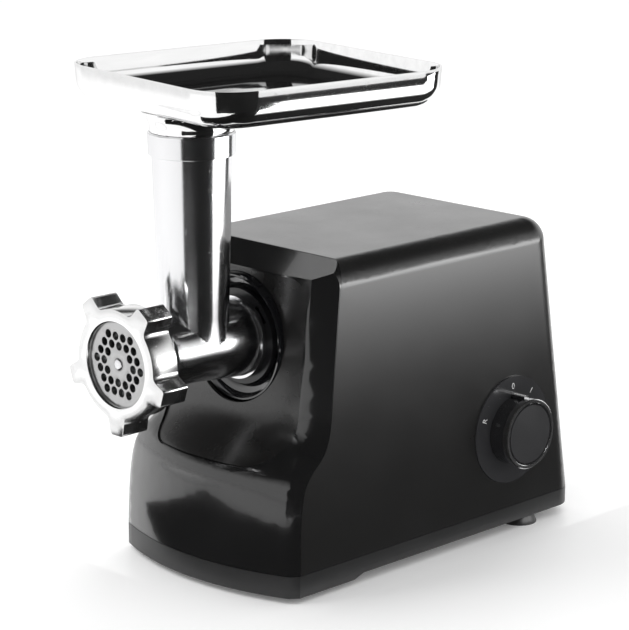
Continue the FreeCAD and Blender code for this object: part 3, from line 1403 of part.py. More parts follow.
def grinder_head():
    """The cast head: barrel, feed tube, threaded mouth, spigot and bayonet lugs in one piece."""
    outside = fused([barrel_outside(), tube_outside()])
    cuts = [
        z_cylinder(THROAT_RADIUS, AXIS_HEIGHT, TUBE_TOP_Z, 0, TUBE_Y),
        z_cylinder(TUBE_BORE_RADIUS, AXIS_HEIGHT + THROAT_HEIGHT, TUBE_TOP_Z, 0, TUBE_Y),
        z_cylinder(NECK_RADIUS + NECK_FIT, TUBE_TOP_Z - NECK_DEPTH - 1, TUBE_TOP_Z, 0, TUBE_Y),
        y_cylinder(BARREL_BORE_RADIUS, MOUTH_FRONT_Y, HEAD_REAR_Y + SPIGOT_LENGTH),
        y_cylinder(PLATE_RADIUS + PLATE_FIT, MOUTH_FRONT_Y - 1, PLATE_REAR_Y + 0.05),
        y_cylinder(PLATE_RADIUS - 1.2, MOUTH_FRONT_Y, knife_rear_y() + 1.0),
    ]
    for i in range(THREAD_TURNS):
        y = MOUTH_FRONT_Y + 2.0 + i * THREAD_PITCH
        cuts.append(y_ring(MOUTH_RADIUS + 1, MOUTH_RADIUS - THREAD_DEPTH, y, y + THREAD_PITCH * 0.45))
    lug_y = HEAD_REAR_Y + 6.0
    lugs = []
    for side in (-1, 1):
        x0, x1 = sorted((side * (SPIGOT_RADIUS - 3), side * (SPIGOT_RADIUS + SPIGOT_LUG)))
        lug = box(x0, x1, lug_y, lug_y + 5, AXIS_HEIGHT - 5, AXIS_HEIGHT + 5)
        lugs.append(lug.common(y_cylinder(SPIGOT_RADIUS + SPIGOT_LUG, lug_y, lug_y + 5)))
    body = fused([outside.cut(cuts)] + lugs)
    return body.cut(y_cylinder(KEY_RADIUS, MOUTH_FRONT_Y + 0.5, PLATE_REAR_Y + 3, 0, key_z()))


def key_z():
    """Height of the plate key, low in the mouth's wall."""
    return AXIS_HEIGHT - PLATE_RADIUS


def knife_rear_y():
    return PLATE_REAR_Y + 0.3 + KNIFE_THICKNESS


def plate_key():
    """Pin in the mouth's wall that keeps the plate from turning."""
    return y_cylinder(KEY_RADIUS, MOUTH_FRONT_Y + 0.5, PLATE_REAR_Y + 3, 0, key_z())


def plate_hole_places():
    """Two rings of a hexagonal grid: the six-by-six rows two and three steps from the middle."""
    places = []
    for ring in (2, 3):
        for side in range(6):
            corner = math.radians(60 * side + PLATE_TURN)
            along = math.radians(60 * side + 120 + PLATE_TURN)
            for step in range(ring):
                x = PLATE_PITCH * (ring * math.cos(corner) + step * math.cos(along))
                z = PLATE_PITCH * (ring * math.sin(corner) + step * math.sin(along))
                places.append((x, AXIS_HEIGHT + z))
    return places


def cutting_plate():
    """Hardened disc with thirty holes, a bearing hole for the auger pin and a key notch."""
    y0 = PLATE_FRONT_Y
    y1 = PLATE_REAR_Y
    plate = y_cylinder(PLATE_RADIUS, y0, y1)
    holes = [y_cylinder(PLATE_HOLE_RADIUS, y0, y1, x, z) for x, z in plate_hole_places()]
    holes.append(y_cylinder(PLATE_PIN_RADIUS, y0, y1))
    holes.append(y_cylinder(KEY_RADIUS + PLATE_FIT, y0, y1, 0, key_z()))
    return plate.cut(holes)


def ring_nut():
    """Screwed ring that clamps the plate, with five blunt ears to grip."""
    nut = y_cylinder(NUT_RADIUS, NUT_FRONT_Y, NUT_REAR_Y)
    ears = []
    for i in range(NUT_EARS):
        ears.append(nut_ear(math.radians(NUT_TURN + i * 360 / NUT_EARS)))
    body = fused([nut] + ears)
    creases = [e for e in body.Edges if is_ear_edge(e, NUT_RADIUS, 0.3)]
    body = body.makeFillet(5.0, creases)
    tips = [e for e in body.Edges if is_ear_edge(e, NUT_EAR_RADIUS, 1.2)]
    body = body.makeFillet(2.2, tips)
    inside = [
        y_cylinder(NUT_OPENING_RADIUS, NUT_FRONT_Y - 1, NUT_REAR_Y),
        y_cylinder(NUT_BORE_RADIUS, NUT_FRONT_Y + NUT_LIP, NUT_REAR_Y),
    ]
    body = body.cut(inside)
    rims = [e for e in body.Edges if is_opening_rim(e)]
    return body.makeChamfer(0.8, rims)


def nut_ear(angle):
    """One ear, a block that narrows outwards, standing at an angle from +X towards +Z."""
    root = NUT_RADIUS - 4
    half = NUT_EAR_HALF_WIDTH
    corners = [(root, -half - 2.5), (NUT_EAR_RADIUS, -half), (NUT_EAR_RADIUS, half), (root, half + 2.5)]
    points = []
    for out, across in corners:
        x = out * math.cos(angle) - across * math.sin(angle)
        z = out * math.sin(angle) + across * math.cos(angle)
        points.append(Vector(x, NUT_FRONT_Y, AXIS_HEIGHT + z))
    face = Part.Face(Part.makePolygon(points + points[:1]))
    return face.extrude(Vector(0, NUT_LENGTH, 0))


def is_ear_edge(edge, radius, tolerance):
    """Whether an edge runs along Y at a distance from the grinding axis."""
    size = edge.BoundBox
    if size.XLength > 0.01 or size.ZLength > 0.01 or size.YLength < NUT_LENGTH - 0.1:
        return False
    return abs(math.hypot(size.Center.x, size.Center.z - AXIS_HEIGHT) - radius) < tolerance


def is_opening_rim(edge):
    size = edge.BoundBox
    at_front = abs(size.YMin - NUT_FRONT_Y) < 0.01 and size.YLength < 0.01
    return at_front and abs(size.XLength - 2 * NUT_OPENING_RADIUS) < 0.1


def knife_blade():
    """One blade: wide at the hub, narrow at the tip, with its cutting edge at the plate."""
    front = PLATE_REAR_Y + 0.25
    rear = front + KNIFE_THICKNESS
    points = [
        Vector(5, front, -5.0),
        Vector(KNIFE_RADIUS - 1, front, -3.0),
        Vector(KNIFE_RADIUS - 1, front, 3.4),
        Vector(5, front, 4.6),
    ]
    blade = Part.Face(Part.makePolygon(points + points[:1])).extrude(Vector(0, KNIFE_THICKNESS, 0))
    hollow = Part.makeCylinder(30, 60, Vector(-5, rear + 26.4, -3), Vector(1, 0, 0))
    return blade.cut(hollow)


def cross_knife():
    """Four-bladed knife on the auger's square, just behind the plate."""
    front = PLATE_REAR_Y + 0.25
    parts = [Part.makeCylinder(9, KNIFE_THICKNESS, Vector(0, front, 0), Vector(0, 1, 0))]
    for i in range(4):
        blade = knife_blade()
        blade.rotate(Vector(0, 0, 0), Vector(0, 1, 0), 90 * i)
        parts.append(blade)
    half = KNIFE_SQUARE / 2
    knife = fused(parts).cut(box(-half, half, front - 1, front + KNIFE_THICKNESS + 1, -half, half))
    knife.translate(Vector(0, 0, AXIS_HEIGHT))
    return knife


def auger_front_y():
    return PLATE_REAR_Y + 0.25 + KNIFE_THICKNESS


def auger_collar_y():
    """Front face of the auger's rear collar."""
    return SOCKET_FLOOR_Y - 0.5 - TAIL_LENGTH - 6.5


def auger():
    """The feed screw: core, helical flight, rear collar, square tail, knife square and pin."""
    start = auger_front_y() + 0.5
    height = auger_collar_y() - start
    core = Part.makeCylinder(AUGER_CORE_RADIUS, height + 1)
    screw = fused([core, auger_flight(height)])
    screw.rotate(Vector(0, 0, 0), Vector(1, 0, 0), -90)
    screw.translate(Vector(0, start, AXIS_HEIGHT))
    return fused([screw] + auger_ends(start, auger_collar_y()))


def auger_flight(height):
    """The helical blade, from the front of the core to inside the rear collar."""
    radius = BARREL_BORE_RADIUS - AUGER_GAP
    inner = AUGER_CORE_RADIUS - 1
    half = FLIGHT_THICKNESS / 2
    low = half + 1.2
    helix = Part.makeHelix(AUGER_PITCH, height + 0.8 - low, inner)
    profile = Part.makePolygon([
        Vector(inner, 0, -half - 1),
        Vector(radius, 0, -half),
        Vector(radius, 0, half),
        Vector(inner, 0, half + 1),
        Vector(inner, 0, -half - 1),
    ])
    flight = Part.Wire(helix).makePipeShell([profile], True, True)
    flight.translate(Vector(0, 0, low))
    return flight


def auger_ends(start, end):
    """The auger's collar and tail behind, and its knife square and pin in front."""
    half = KNIFE_SQUARE / 2 - 0.05
    tail = TAIL_SQUARE / 2
    pin_front = PLATE_FRONT_Y - 0.9
    pin = y_cylinder(PLATE_PIN_RADIUS - SHAFT_FIT, pin_front, auger_front_y(), 0)
    dome = [e for e in pin.Edges if abs(e.BoundBox.YMax - pin_front) < 1e-4]
    square = box(-half, half, PLATE_REAR_Y + 0.3, auger_front_y() + 0.2, -half, half)
    square.translate(Vector(0, 0, AXIS_HEIGHT))
    square = square.common(y_cylinder(PLATE_PIN_RADIUS + 3, PLATE_REAR_Y, auger_front_y() + 1))
    tail_end = end + 6.5 + TAIL_LENGTH - 0.3
    return [
        pin.makeFillet(1.6, dome),
        square,
        y_cylinder(AUGER_CORE_RADIUS + 1.5, auger_front_y() + 0.1, start + 0.5),
        y_cylinder(BARREL_BORE_RADIUS - AUGER_GAP + 0.2, end, end + 4),
        box(-tail, tail, end + 4, tail_end, AXIS_HEIGHT - tail, AXIS_HEIGHT + tail),
    ]


def auger_washer():
    """Slippery washer between the auger's collar and the drive shaft."""
    y0 = auger_collar_y() + 4.05
    ring = y_cylinder(17, y0, y0 + 2.2)
    half = TAIL_SQUARE / 2 + 0.05
    return ring.cut(box(-half, half, y0 - 1, y0 + 4, AXIS_HEIGHT - half, AXIS_HEIGHT + half))


# ---------------------------------------------------------------- hopper tray


def tray_outline(z, inset):
    """The tray's rounded rectangle at one height, centred behind the tube."""
    half_x = TRAY_WIDTH / 2 - inset
    half_y = TRAY_LENGTH / 2 - inset
    radius = TRAY_CORNER_RADIUS - inset
    middle = TUBE_Y + TRAY_SETBACK
    corners = [
        (-half_x, middle - half_y, radius),
        (half_x, middle - half_y, radius),
        (half_x, middle + half_y, radius),
        (-half_x, middle + half_y, radius),
    ]
    return rounded_outline(corners, at_z(z))


def tray_pan(inset, low, high):
    """The pan as a solid: flared sides and a rounded bottom edge."""
    flare = TRAY_FLARE / TRAY_DEPTH
    floor = TRAY_RIM_Z - TRAY_DEPTH
    wires = [tray_outline(z, inset + (TRAY_RIM_Z - z) * flare) for z in (low, high)]
    pan = Part.makeLoft(wires, True, True)
    radius = TRAY_BOTTOM_RADIUS - inset
    edges = [e for e in pan.Edges if e.BoundBox.ZMax < floor + inset + 0.01]
    return pan.makeFillet(radius, edges)


def hopper_tray():
    """Sheet-metal tray with a funnel and a round neck that plugs into the feed tube."""
    floor = TRAY_RIM_Z - TRAY_DEPTH
    sheet = TRAY_SHEET
    outer = tray_pan(0, floor, TRAY_RIM_Z)
    inner = tray_pan(sheet, floor + sheet, TRAY_RIM_Z + 2)
    mouth = NECK_RADIUS + 9.0
    neck_low = TUBE_TOP_Z - NECK_DEPTH
    bore = NECK_RADIUS - NECK_WALL
    seat = COLLAR_BAND_RADIUS - 1.0
    funnel = [
        (0, neck_low),
        (NECK_RADIUS, neck_low),
        (NECK_RADIUS, TUBE_TOP_Z + 0.1),
        (seat, TUBE_TOP_Z + 0.1),
        (seat + 0.4, TUBE_TOP_Z + 5),
        (seat + 2.8, floor - 2.5),
        (mouth, floor + 0.6),
        (0, floor + 0.6),
    ]
    hollow = [
        (0, neck_low - 1),
        (bore, neck_low - 1),
        (bore, TUBE_TOP_Z + 3),
        (seat + 0.6, floor - 1.0),
        (mouth - 1.0, floor + sheet),
        (mouth - 1.0, floor + sheet + 5),
        (0, floor + sheet + 5),
    ]
    tray = fused([outer, turned_z(funnel, 0, TUBE_Y)]).cut([inner, turned_z(hollow, 0, TUBE_Y)])
    tray.rotate(Vector(0, TUBE_Y, 0), Vector(0, 0, 1), TRAY_TURN)
    return tray


# ---------------------------------------------------------------- the whole object

PARTS = {
    "main_housing": main_housing,
    "front_cover": front_cover,
    "recess_panel": recess_panel,
    "socket_collar": socket_collar,
    "base_tray": base_tray,
    "rubber_feet": rubber_feet,
    "foot_screws": foot_screws,
    "housing_screws": housing_screws,
    "cord_inlet": cord_inlet,
    "gearbox_front": gearbox_front,
    "gearbox_rear": gearbox_rear,
    "gearbox_screws": gearbox_screws,
    "gearbox_stand": gearbox_stand,
    "output_bush_front": output_bush_front,
    "output_bush_rear": output_bush_rear,
    "gear_axles": gear_axles,
    "drive_shaft": drive_shaft,
    "output_gear": output_gear,
    "second_gear": second_gear,
    "first_gear": first_gear,
    "motor_pinion": motor_pinion,
    "motor_shaft": motor_shaft,
    "motor_bearings": motor_bearings,
    "stator_core": stator_core,
    "field_coils": field_coils,
    "rotor_core": rotor_core,
    "rotor_windings": rotor_windings,
    "commutator": commutator,
    "cooling_fan": cooling_fan,
    "motor_bracket": motor_bracket,
    "motor_bolts": motor_bolts,
    "brush_holders": brush_holders,
    "carbon_brushes": carbon_brushes,
    "motor_cradle": motor_cradle,
    "dial_plate": dial_plate,
    "rotary_switch": rotary_switch,
    "knob_spindle": knob_spindle,
    "knob": knob,
    "knob_ring": knob_ring,
    "knob_face": knob_face,
    "circuit_board": circuit_board,
    "release_button": release_button,
    "latch_pin": latch_pin,
    "latch_guide": latch_guide,
    "release_spring": release_spring,
    "grinder_head": grinder_head,
    "plate_key": plate_key,
    "cutting_plate": cutting_plate,
    "ring_nut": ring_nut,
    "cross_knife": cross_knife,
    "auger": auger,
    "auger_washer": auger_washer,
    "hopper_tray": hopper_tray,
}


def main():
    os.makedirs("parts", exist_ok=True)
    shapes = {name: build() for name, build in PARTS.items()}
    whole = Part.Compound(list(shapes.values())).optimalBoundingBox()
    shift = Vector(-whole.Center.x, -whole.Center.y, 0)
    for name, shape in shapes.items():
        shape.translate(shift)
        shape.exportStep(os.path.join("parts", name + ".step"))
    print("moved by", round(shift.x, 4), round(shift.y, 4))
    print("second axle", SECOND_AXLE, "first axle", FIRST_AXLE)


main()
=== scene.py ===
"""Finishes, stage and small details for the electric meat grinder, round its CAD frame."""

import math

import bpy
from bpy.props import FloatProperty, FloatVectorProperty, PointerProperty
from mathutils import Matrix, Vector


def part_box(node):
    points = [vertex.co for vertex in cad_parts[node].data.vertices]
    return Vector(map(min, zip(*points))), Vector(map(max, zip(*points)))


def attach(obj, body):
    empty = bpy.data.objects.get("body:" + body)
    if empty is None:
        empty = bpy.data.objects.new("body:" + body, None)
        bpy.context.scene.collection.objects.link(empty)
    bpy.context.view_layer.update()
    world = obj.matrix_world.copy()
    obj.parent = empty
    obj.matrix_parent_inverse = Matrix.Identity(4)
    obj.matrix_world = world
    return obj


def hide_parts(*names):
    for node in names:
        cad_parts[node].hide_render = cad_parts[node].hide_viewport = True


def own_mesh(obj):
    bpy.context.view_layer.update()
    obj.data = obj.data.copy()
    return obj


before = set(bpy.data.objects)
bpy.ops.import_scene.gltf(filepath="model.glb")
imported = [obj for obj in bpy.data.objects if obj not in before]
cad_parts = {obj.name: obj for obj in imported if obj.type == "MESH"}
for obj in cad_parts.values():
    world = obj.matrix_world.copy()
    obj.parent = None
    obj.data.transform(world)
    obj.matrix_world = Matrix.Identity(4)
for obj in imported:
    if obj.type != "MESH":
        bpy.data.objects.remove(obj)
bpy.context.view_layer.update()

bl_info = {
    "name": "Meat Grinder Finish",
    "version": (1, 0, 0),
    "blender": (4, 5, 0),
    "location": "View3D > Sidebar > Grinder",
    "description": "Finishes, details and a studio stage for an electric meat grinder",
    "category": "Object",
}

MICRON = 0.000001
MILLIMETRE = 0.001
SMOOTH_ANGLE = math.radians(32)
WELD_DISTANCE = 1 * MICRON
DUST_COLOUR = (0.35, 0.34, 0.32, 1.0)
WHITE = (1.0, 1.0, 1.0, 1.0)
BLACK = (0.004, 0.004, 0.004, 1.0)

# Each figure round the knob: its text, its angle in degrees from +Y towards +Z, and its name.
DIAL_FIGURES = (("0", 90.0, "off"), ("1", 52.0, "on"), ("R", 158.0, "reverse"))
FIGURE_RELIEF = 0.05 * MILLIMETRE
FIGURE_SINK = 0.02 * MILLIMETRE

# The pointer line: its share of the nub's length, and its section.
POINTER_SHARE = 0.86
POINTER_WIDTH = 1.1 * MILLIMETRE
POINTER_HEIGHT = 0.3 * MILLIMETRE
POINTER_RAISE = 0.05 * MILLIMETRE
POINTER_EDGE = 0.1 * MILLIMETRE

# The coil's turns and how finely they are wound, enough for the button's 4 mm travel and a little to
# spare.
SPRING_TURNS = 7
RINGS_PER_TURN = 20
POINTS_PER_RING = 10

# Two crossed bars cut each screw's recess, turned by some degrees from X.
RECESS_BAR = (3.6 * MILLIMETRE, 0.7 * MILLIMETRE, 2.6 * MILLIMETRE)
RECESS_TURN = 20
SCREW_SMOOTH_ANGLE = math.radians(30)

# Places and sizes on the stage are in metres, like the frame's.
FLOOR_SIZE = 30.0
SCREEN_CENTRE = (0.0, -0.05)
SCREEN_STEPS = 24
SHEET_HEIGHT = 0.5 * MILLIMETRE
PATCH_HEIGHT = 0.8 * MILLIMETRE
PATCH_SIDES = 32
PATCH_CORE = 0.3
CARD_FADE = 0.06
CARD_CURVE = 2.2


# ---------------------------------------------------------------- settings


class GrinderPlastics(bpy.types.PropertyGroup):
    """Colours and gloss of the mouldings."""

    housing: FloatVectorProperty(
        name="Housing", description="Colour of the motor housing", subtype="COLOR",
        size=3, min=0, max=1, default=(0.010, 0.0097, 0.0096))
    bezel: FloatVectorProperty(
        name="Bezel", description="Colour of the glossy front cover", subtype="COLOR",
        size=3, min=0, max=1, default=(0.008, 0.008, 0.0082))
    base: FloatVectorProperty(
        name="Base", description="Colour of the base band", subtype="COLOR",
        size=3, min=0, max=1, default=(0.016, 0.016, 0.0165))
    housing_roughness: FloatProperty(
        name="Housing roughness", description="How satin the motor housing is",
        min=0, max=1, default=0.30, subtype="FACTOR")
    grain_depth: FloatProperty(
        name="Grain depth", description="Depth of the moulded grain",
        min=0, max=MILLIMETRE, default=20 * MICRON, unit="LENGTH")


class GrinderMetals(bpy.types.PropertyGroup):
    """Colours and polish of the metal pieces."""

    tray: FloatVectorProperty(
        name="Tray", description="Colour of the polished tray", subtype="COLOR",
        size=3, min=0, max=1, default=(0.80, 0.80, 0.80))
    cast: FloatVectorProperty(
        name="Casting", description="Colour of the cast head", subtype="COLOR",
        size=3, min=0, max=1, default=(0.80, 0.80, 0.81))
    nut: FloatVectorProperty(
        name="Ring nut", description="Colour of the polished ring nut", subtype="COLOR",
        size=3, min=0, max=1, default=(0.74, 0.74, 0.74))
    tray_roughness: FloatProperty(
        name="Tray roughness", description="How dull the tray's polish is",
        min=0, max=1, default=0.07, subtype="FACTOR")
    cast_roughness: FloatProperty(
        name="Casting roughness", description="How dull the barrel's brushing is",
        min=0, max=1, default=0.20, subtype="FACTOR")


class GrinderDetails(bpy.types.PropertyGroup):
    """Sizes of the marks and of the return spring."""

    mark_height: FloatProperty(
        name="Mark height", description="Height of the figures round the knob",
        min=0.002, max=0.01, default=0.0062, unit="LENGTH")
    mark_radius: FloatProperty(
        name="Mark radius", description="Distance of the figures from the knob's axis",
        min=0.026, max=0.036, default=0.0315, unit="LENGTH")
    spring_wire: FloatProperty(
        name="Spring wire", description="Thickness of the return spring's wire",
        min=0.0004, max=0.002, default=0.0009, unit="LENGTH")


class GrinderStage(bpy.types.PropertyGroup):
    """Where the camera stands, where it looks and its lens."""

    camera_place: FloatVectorProperty(
        name="Camera place", description="Where the camera stands", subtype="TRANSLATION",
        size=3, default=(1.2014, -1.2027, 0.5879), unit="LENGTH")
    camera_turn: FloatProperty(
        name="Camera turn", description="Direction the camera looks in, from +Y towards -X",
        default=math.radians(45.22), subtype="ANGLE")
    camera_drop: FloatProperty(
        name="Camera drop", description="How far the camera looks down",
        default=math.radians(13.99), subtype="ANGLE")
    lens: FloatProperty(
        name="Lens", description="Focal length in millimetres",
        min=20, max=300, default=145.36)


# ---------------------------------------------------------------- node helpers


class Tree:
    """Adds nodes to a material or a node group and joins them."""

    def __init__(self, tree):
        self.tree = tree
        self.column = 0

    def add(self, kind, values=None, **settings):
        node = self.tree.nodes.new(kind)
        node.location = (self.column * 190, -(self.column % 4) * 130)
        self.column += 1
        for key, value in settings.items():
            setattr(node, key, value)
        for key, value in (values or {}).items():
            if isinstance(value, bpy.types.NodeSocket):
                self.tree.links.new(value, node.inputs[key])
            else:
                node.inputs[key].default_value = value
        return node

    def join(self, output, socket):
        self.tree.links.new(output, socket)

    def math(self, operation, a, b=0.0):
        return self.add("ShaderNodeMath", {0: a, 1: b}, operation=operation).outputs[0]

    def vector_math(self, operation, a, b=(0.0, 0.0, 0.0)):
        return self.add("ShaderNodeVectorMath", {0: a, 1: b}, operation=operation).outputs[0]

    def length(self, vector):
        node = self.add("ShaderNodeVectorMath", {0: vector}, operation="LENGTH")
        return node.outputs["Value"]

    def spread(self, value, low, high, to_low=0.0, to_high=1.0):
        """Maps a value from one range to another, clamped."""
        values = {"Value": value, 1: low, 2: high, 3: to_low, 4: to_high}
        return self.add("ShaderNodeMapRange", values).outputs["Result"]

    def colour_mix(self, factor, a, b):
        node = self.add("ShaderNodeMix", {0: factor, 6: a, 7: b}, data_type="RGBA")
        return node.outputs[2]

    def noise(self, vector, scale, detail=2.0, roughness=0.5):
        values = {"Vector": vector, "Scale": scale, "Detail": detail, "Roughness": roughness}
        return self.add("ShaderNodeTexNoise", values).outputs["Fac"]


def new_group(name, inputs, outputs):
    """A shader node group; inputs are (name, type, default), outputs (name, type)."""
    group = bpy.data.node_groups.new(name, "ShaderNodeTree")
    for label, kind, default in inputs:
        socket = group.interface.new_socket(label, in_out="INPUT", socket_type=kind)
        if default is not None:
            socket.default_value = default
    for label, kind in outputs:
        group.interface.new_socket(label, in_out="OUTPUT", socket_type=kind)
    work = Tree(group)
    return group, work, work.add("NodeGroupInput"), work.add("NodeGroupOutput")


FLOAT = "NodeSocketFloat"
VECTOR = "NodeSocketVector"


def handling_group():
    """Finger smudges, fine dust on top and hair scratches, for anything that is touched."""
    group, t, given, out = new_group(
        "Handling marks",
        [("Place", VECTOR, None), ("Up", VECTOR, None), ("Smudge scale", FLOAT, 22.0),
         ("Scratch scale", FLOAT, 1500.0)],
        [("Smudge", FLOAT), ("Dust", FLOAT), ("Scratch", FLOAT)])
    place = given.outputs["Place"]
    broad = t.noise(place, given.outputs["Smudge scale"], 4.0, 0.6)
    smudge = t.spread(broad, 0.25, 0.75)
    speck = t.noise(place, 900.0, 2.0, 0.5)
    patch = t.noise(place, 30.0, 3.0, 0.55)
    up = t.add("ShaderNodeSeparateXYZ", {0: given.outputs["Up"]}).outputs["Z"]
    specks = t.math("MULTIPLY", t.spread(speck, 0.62, 0.74), t.spread(patch, 0.4, 0.7))
    dust = t.math("MULTIPLY", specks, t.spread(up, 0.3, 0.95))
    drawn = t.vector_math("MULTIPLY", place, (1.0, 0.06, 0.35))
    hairs = t.noise(drawn, given.outputs["Scratch scale"], 2.0, 0.7)
    line = t.spread(hairs, 0.64, 0.72)
    seen = t.spread(t.noise(place, 30.0, 1.0), 0.45, 0.7)
    scratch = t.math("MULTIPLY", line, seen)
    for label, value in (("Smudge", smudge), ("Dust", dust), ("Scratch", scratch)):
        t.join(value, out.inputs[label])
    return group


def grain_group():
    """The fine pebbled grain of a moulding and its slight flow mottle."""
    group, t, given, out = new_group(
        "Moulded grain",
        [("Place", VECTOR, None), ("Grain scale", FLOAT, 1400.0)],
        [("Height", FLOAT), ("Mottle", FLOAT)])
    place = given.outputs["Place"]
    cells = t.add("ShaderNodeTexVoronoi", {"Vector": place, "Scale": given.outputs["Grain scale"]})
    pebble = t.spread(cells.outputs["Distance"], 0.0, 0.9, 1.0, 0.0)
    soft = t.noise(place, 260.0, 2.0)
    height = t.math("ADD", t.math("MULTIPLY", pebble, 0.7), t.math("MULTIPLY", soft, 0.3))
    mottle = t.noise(place, 14.0, 3.0, 0.55)
    t.join(height, out.inputs["Height"])
    t.join(mottle, out.inputs["Mottle"])
    return group


def brushing_group():
    """Fine lines of brushing or turning, stretched by the Stretch vector."""
    group, t, given, out = new_group(
        "Brushing",
        [("Place", VECTOR, None), ("Stretch", VECTOR, (1.0, 1.0, 1.0)), ("Line scale", FLOAT, 900.0)],
        [("Height", FLOAT), ("Streak", FLOAT)])
    drawn = t.vector_math("MULTIPLY", given.outputs["Place"], given.outputs["Stretch"])
    fine = t.noise(drawn, given.outputs["Line scale"], 3.0, 0.6)
    broad = t.noise(drawn, 160.0, 2.0)
    t.join(fine, out.inputs["Height"])
    t.join(broad, out.inputs["Streak"])
    return group


def casting_group():
    """The slightly lumpy, softly polished skin of a casting, with small pits."""
    group, t, given, out = new_group(
        "Cast skin",
        [("Place", VECTOR, None), ("Lump scale", FLOAT, 90.0)],
        [("Height", FLOAT), ("Pits", FLOAT)])
    place = given.outputs["Place"]
    lumps = t.noise(place, given.outputs["Lump scale"], 3.0, 0.5)
    fine = t.noise(place, 1500.0, 2.0, 0.6)
    pits = t.spread(t.noise(place, 420.0, 1.0), 0.70, 0.78)
    rough = t.math("ADD", t.math("MULTIPLY", lumps, 0.75), t.math("MULTIPLY", fine, 0.25))
    height = t.math("SUBTRACT", rough, t.math("MULTIPLY", pits, 0.25))
    t.join(height, out.inputs["Height"])
    t.join(pits, out.inputs["Pits"])
    return group


def turning_group():
    """Concentric lathe marks round a line through Centre; Across masks the two ways across it."""
    group, t, given, out = new_group(
        "Lathe marks",
        [("Place", VECTOR, None), ("Centre", VECTOR, (0.0, 0.0, 0.0)),
         ("Across", VECTOR, (1.0, 0.0, 1.0)), ("Ring scale", FLOAT, 2600.0)],
        [("Height", FLOAT), ("Band", FLOAT)])
    offset = t.vector_math("SUBTRACT", given.outputs["Place"], given.outputs["Centre"])
    flat = t.vector_math("MULTIPLY", offset, given.outputs["Across"])
    line = t.add("ShaderNodeCombineXYZ", {0: t.length(flat)}).outputs[0]
    t.join(t.noise(line, given.outputs["Ring scale"], 2.0), out.inputs["Height"])
    t.join(t.noise(line, 260.0, 2.0), out.inputs["Band"])
    return group


GROUP_MAKERS = {
    "handling": handling_group,
    "grain": grain_group,
    "brushing": brushing_group,
    "casting": casting_group,
    "turning": turning_group,
}
GROUPS = {}


def placed_group(t, key, place, **values):
    """A copy of a shared group in a material, made on first use."""
    if key not in GROUPS:
        GROUPS[key] = GROUP_MAKERS[key]()
    node = t.add("ShaderNodeGroup", node_tree=GROUPS[key])
    t.join(place, node.inputs["Place"])
    for label, value in values.items():
        node.inputs[label.replace("_", " ")].default_value = value
    return node


def start_material(name):
    """A material with its Principled shader, its Object coordinates and a tree to work in."""
    material = bpy.data.materials.new(name)
    material.use_nodes = True
    material.node_tree.nodes.clear()
    t = Tree(material.node_tree)
    shader = t.add("ShaderNodeBsdfPrincipled")
    surface = t.add("ShaderNodeOutputMaterial")
    t.join(shader.outputs["BSDF"], surface.inputs["Surface"])
    coordinates = t.add("ShaderNodeTexCoord")
    return material, t, shader, coordinates


def handled(t, coordinates, **values):
    """Handling marks that follow the material's own coordinates."""
    marks = placed_group(t, "handling", coordinates.outputs["Object"], **values)
    t.join(coordinates.outputs["Normal"], marks.inputs["Up"])
    return marks


def wear(t, marks, smudge, scratch):
    """How much the smudges and the hair scratches add to the roughness."""
    smudged = t.math("MULTIPLY", marks.outputs["Smudge"], smudge)
    scratched = t.math("MULTIPLY", marks.outputs["Scratch"], scratch)
    return t.math("ADD", smudged, scratched)


def dusted(t, marks, amount, colour):
    """A colour with dust where the marks put it."""
    return t.colour_mix(t.math("MULTIPLY", marks.outputs["Dust"], amount), colour, DUST_COLOUR)


def raise_skin(t, shader, skin, distance, strength=0.6):
    """Bumps the shading by a shared group's height."""
    values = {"Height": skin.outputs["Height"], "Distance": distance, "Strength": strength}
    t.join(t.add("ShaderNodeBump", values).outputs["Normal"], shader.inputs["Normal"])


def set_inputs(shader, **values):
    for label, value in values.items():
        shader.inputs[label.replace("_", " ")].default_value = value


def shade(colour, factor):
    """A colour made darker or lighter, with its alpha."""
    return tuple(min(1.0, c * factor) for c in colour) + (1.0,)


def plastic(name, colour, roughness, grain=20 * MICRON, coat=0.0, dust=0.25, smudge=0.10):
    """Moulded plastic with grain, mottle, smudges, hair scratches and a little dust."""
    material, t, shader, coordinates = start_material(name)
    marks = handled(t, coordinates)
    skin = placed_group(t, "grain", coordinates.outputs["Object"])
    mottle = t.spread(skin.outputs["Mottle"], 0.3, 0.7)
    mottled = t.colour_mix(mottle, shade(colour, 0.88), shade(colour, 1.12))
    t.join(dusted(t, marks, dust, mottled), shader.inputs["Base Color"])
    rough = t.math("ADD", wear(t, marks, smudge, 0.12), roughness - smudge * 0.5)
    t.join(rough, shader.inputs["Roughness"])
    raise_skin(t, shader, skin, grain)
    set_inputs(shader, Metallic=0.0, IOR=1.5, Coat_Weight=coat, Coat_Roughness=0.06)
    return material


def painted(name, colour, roughness):
    """Lacquered moulding: dark plastic with a fine flake that catches soft lights."""
    material, t, shader, coordinates = start_material(name)
    place = coordinates.outputs["Object"]
    marks = handled(t, coordinates)
    skin = placed_group(t, "grain", place, Grain_scale=1900.0)
    glint = t.spread(t.noise(place, 2600.0, 1.0), 0.45, 0.75)
    flaked = t.colour_mix(glint, shade(colour, 0.9), shade(colour, 1.5))
    mottle = t.spread(skin.outputs["Mottle"], 0.3, 0.7)
    mottled = t.colour_mix(mottle, flaked, shade(colour, 1.05))
    t.join(dusted(t, marks, 0.2, mottled), shader.inputs["Base Color"])
    rough = t.math("ADD", wear(t, marks, 0.06, 0.10), roughness - 0.03)
    t.join(rough, shader.inputs["Roughness"])
    raise_skin(t, shader, skin, 10 * MICRON, 0.5)
    set_inputs(shader, Metallic=0.0, IOR=1.5, Coat_Weight=0.35, Coat_Roughness=0.16)
    return material


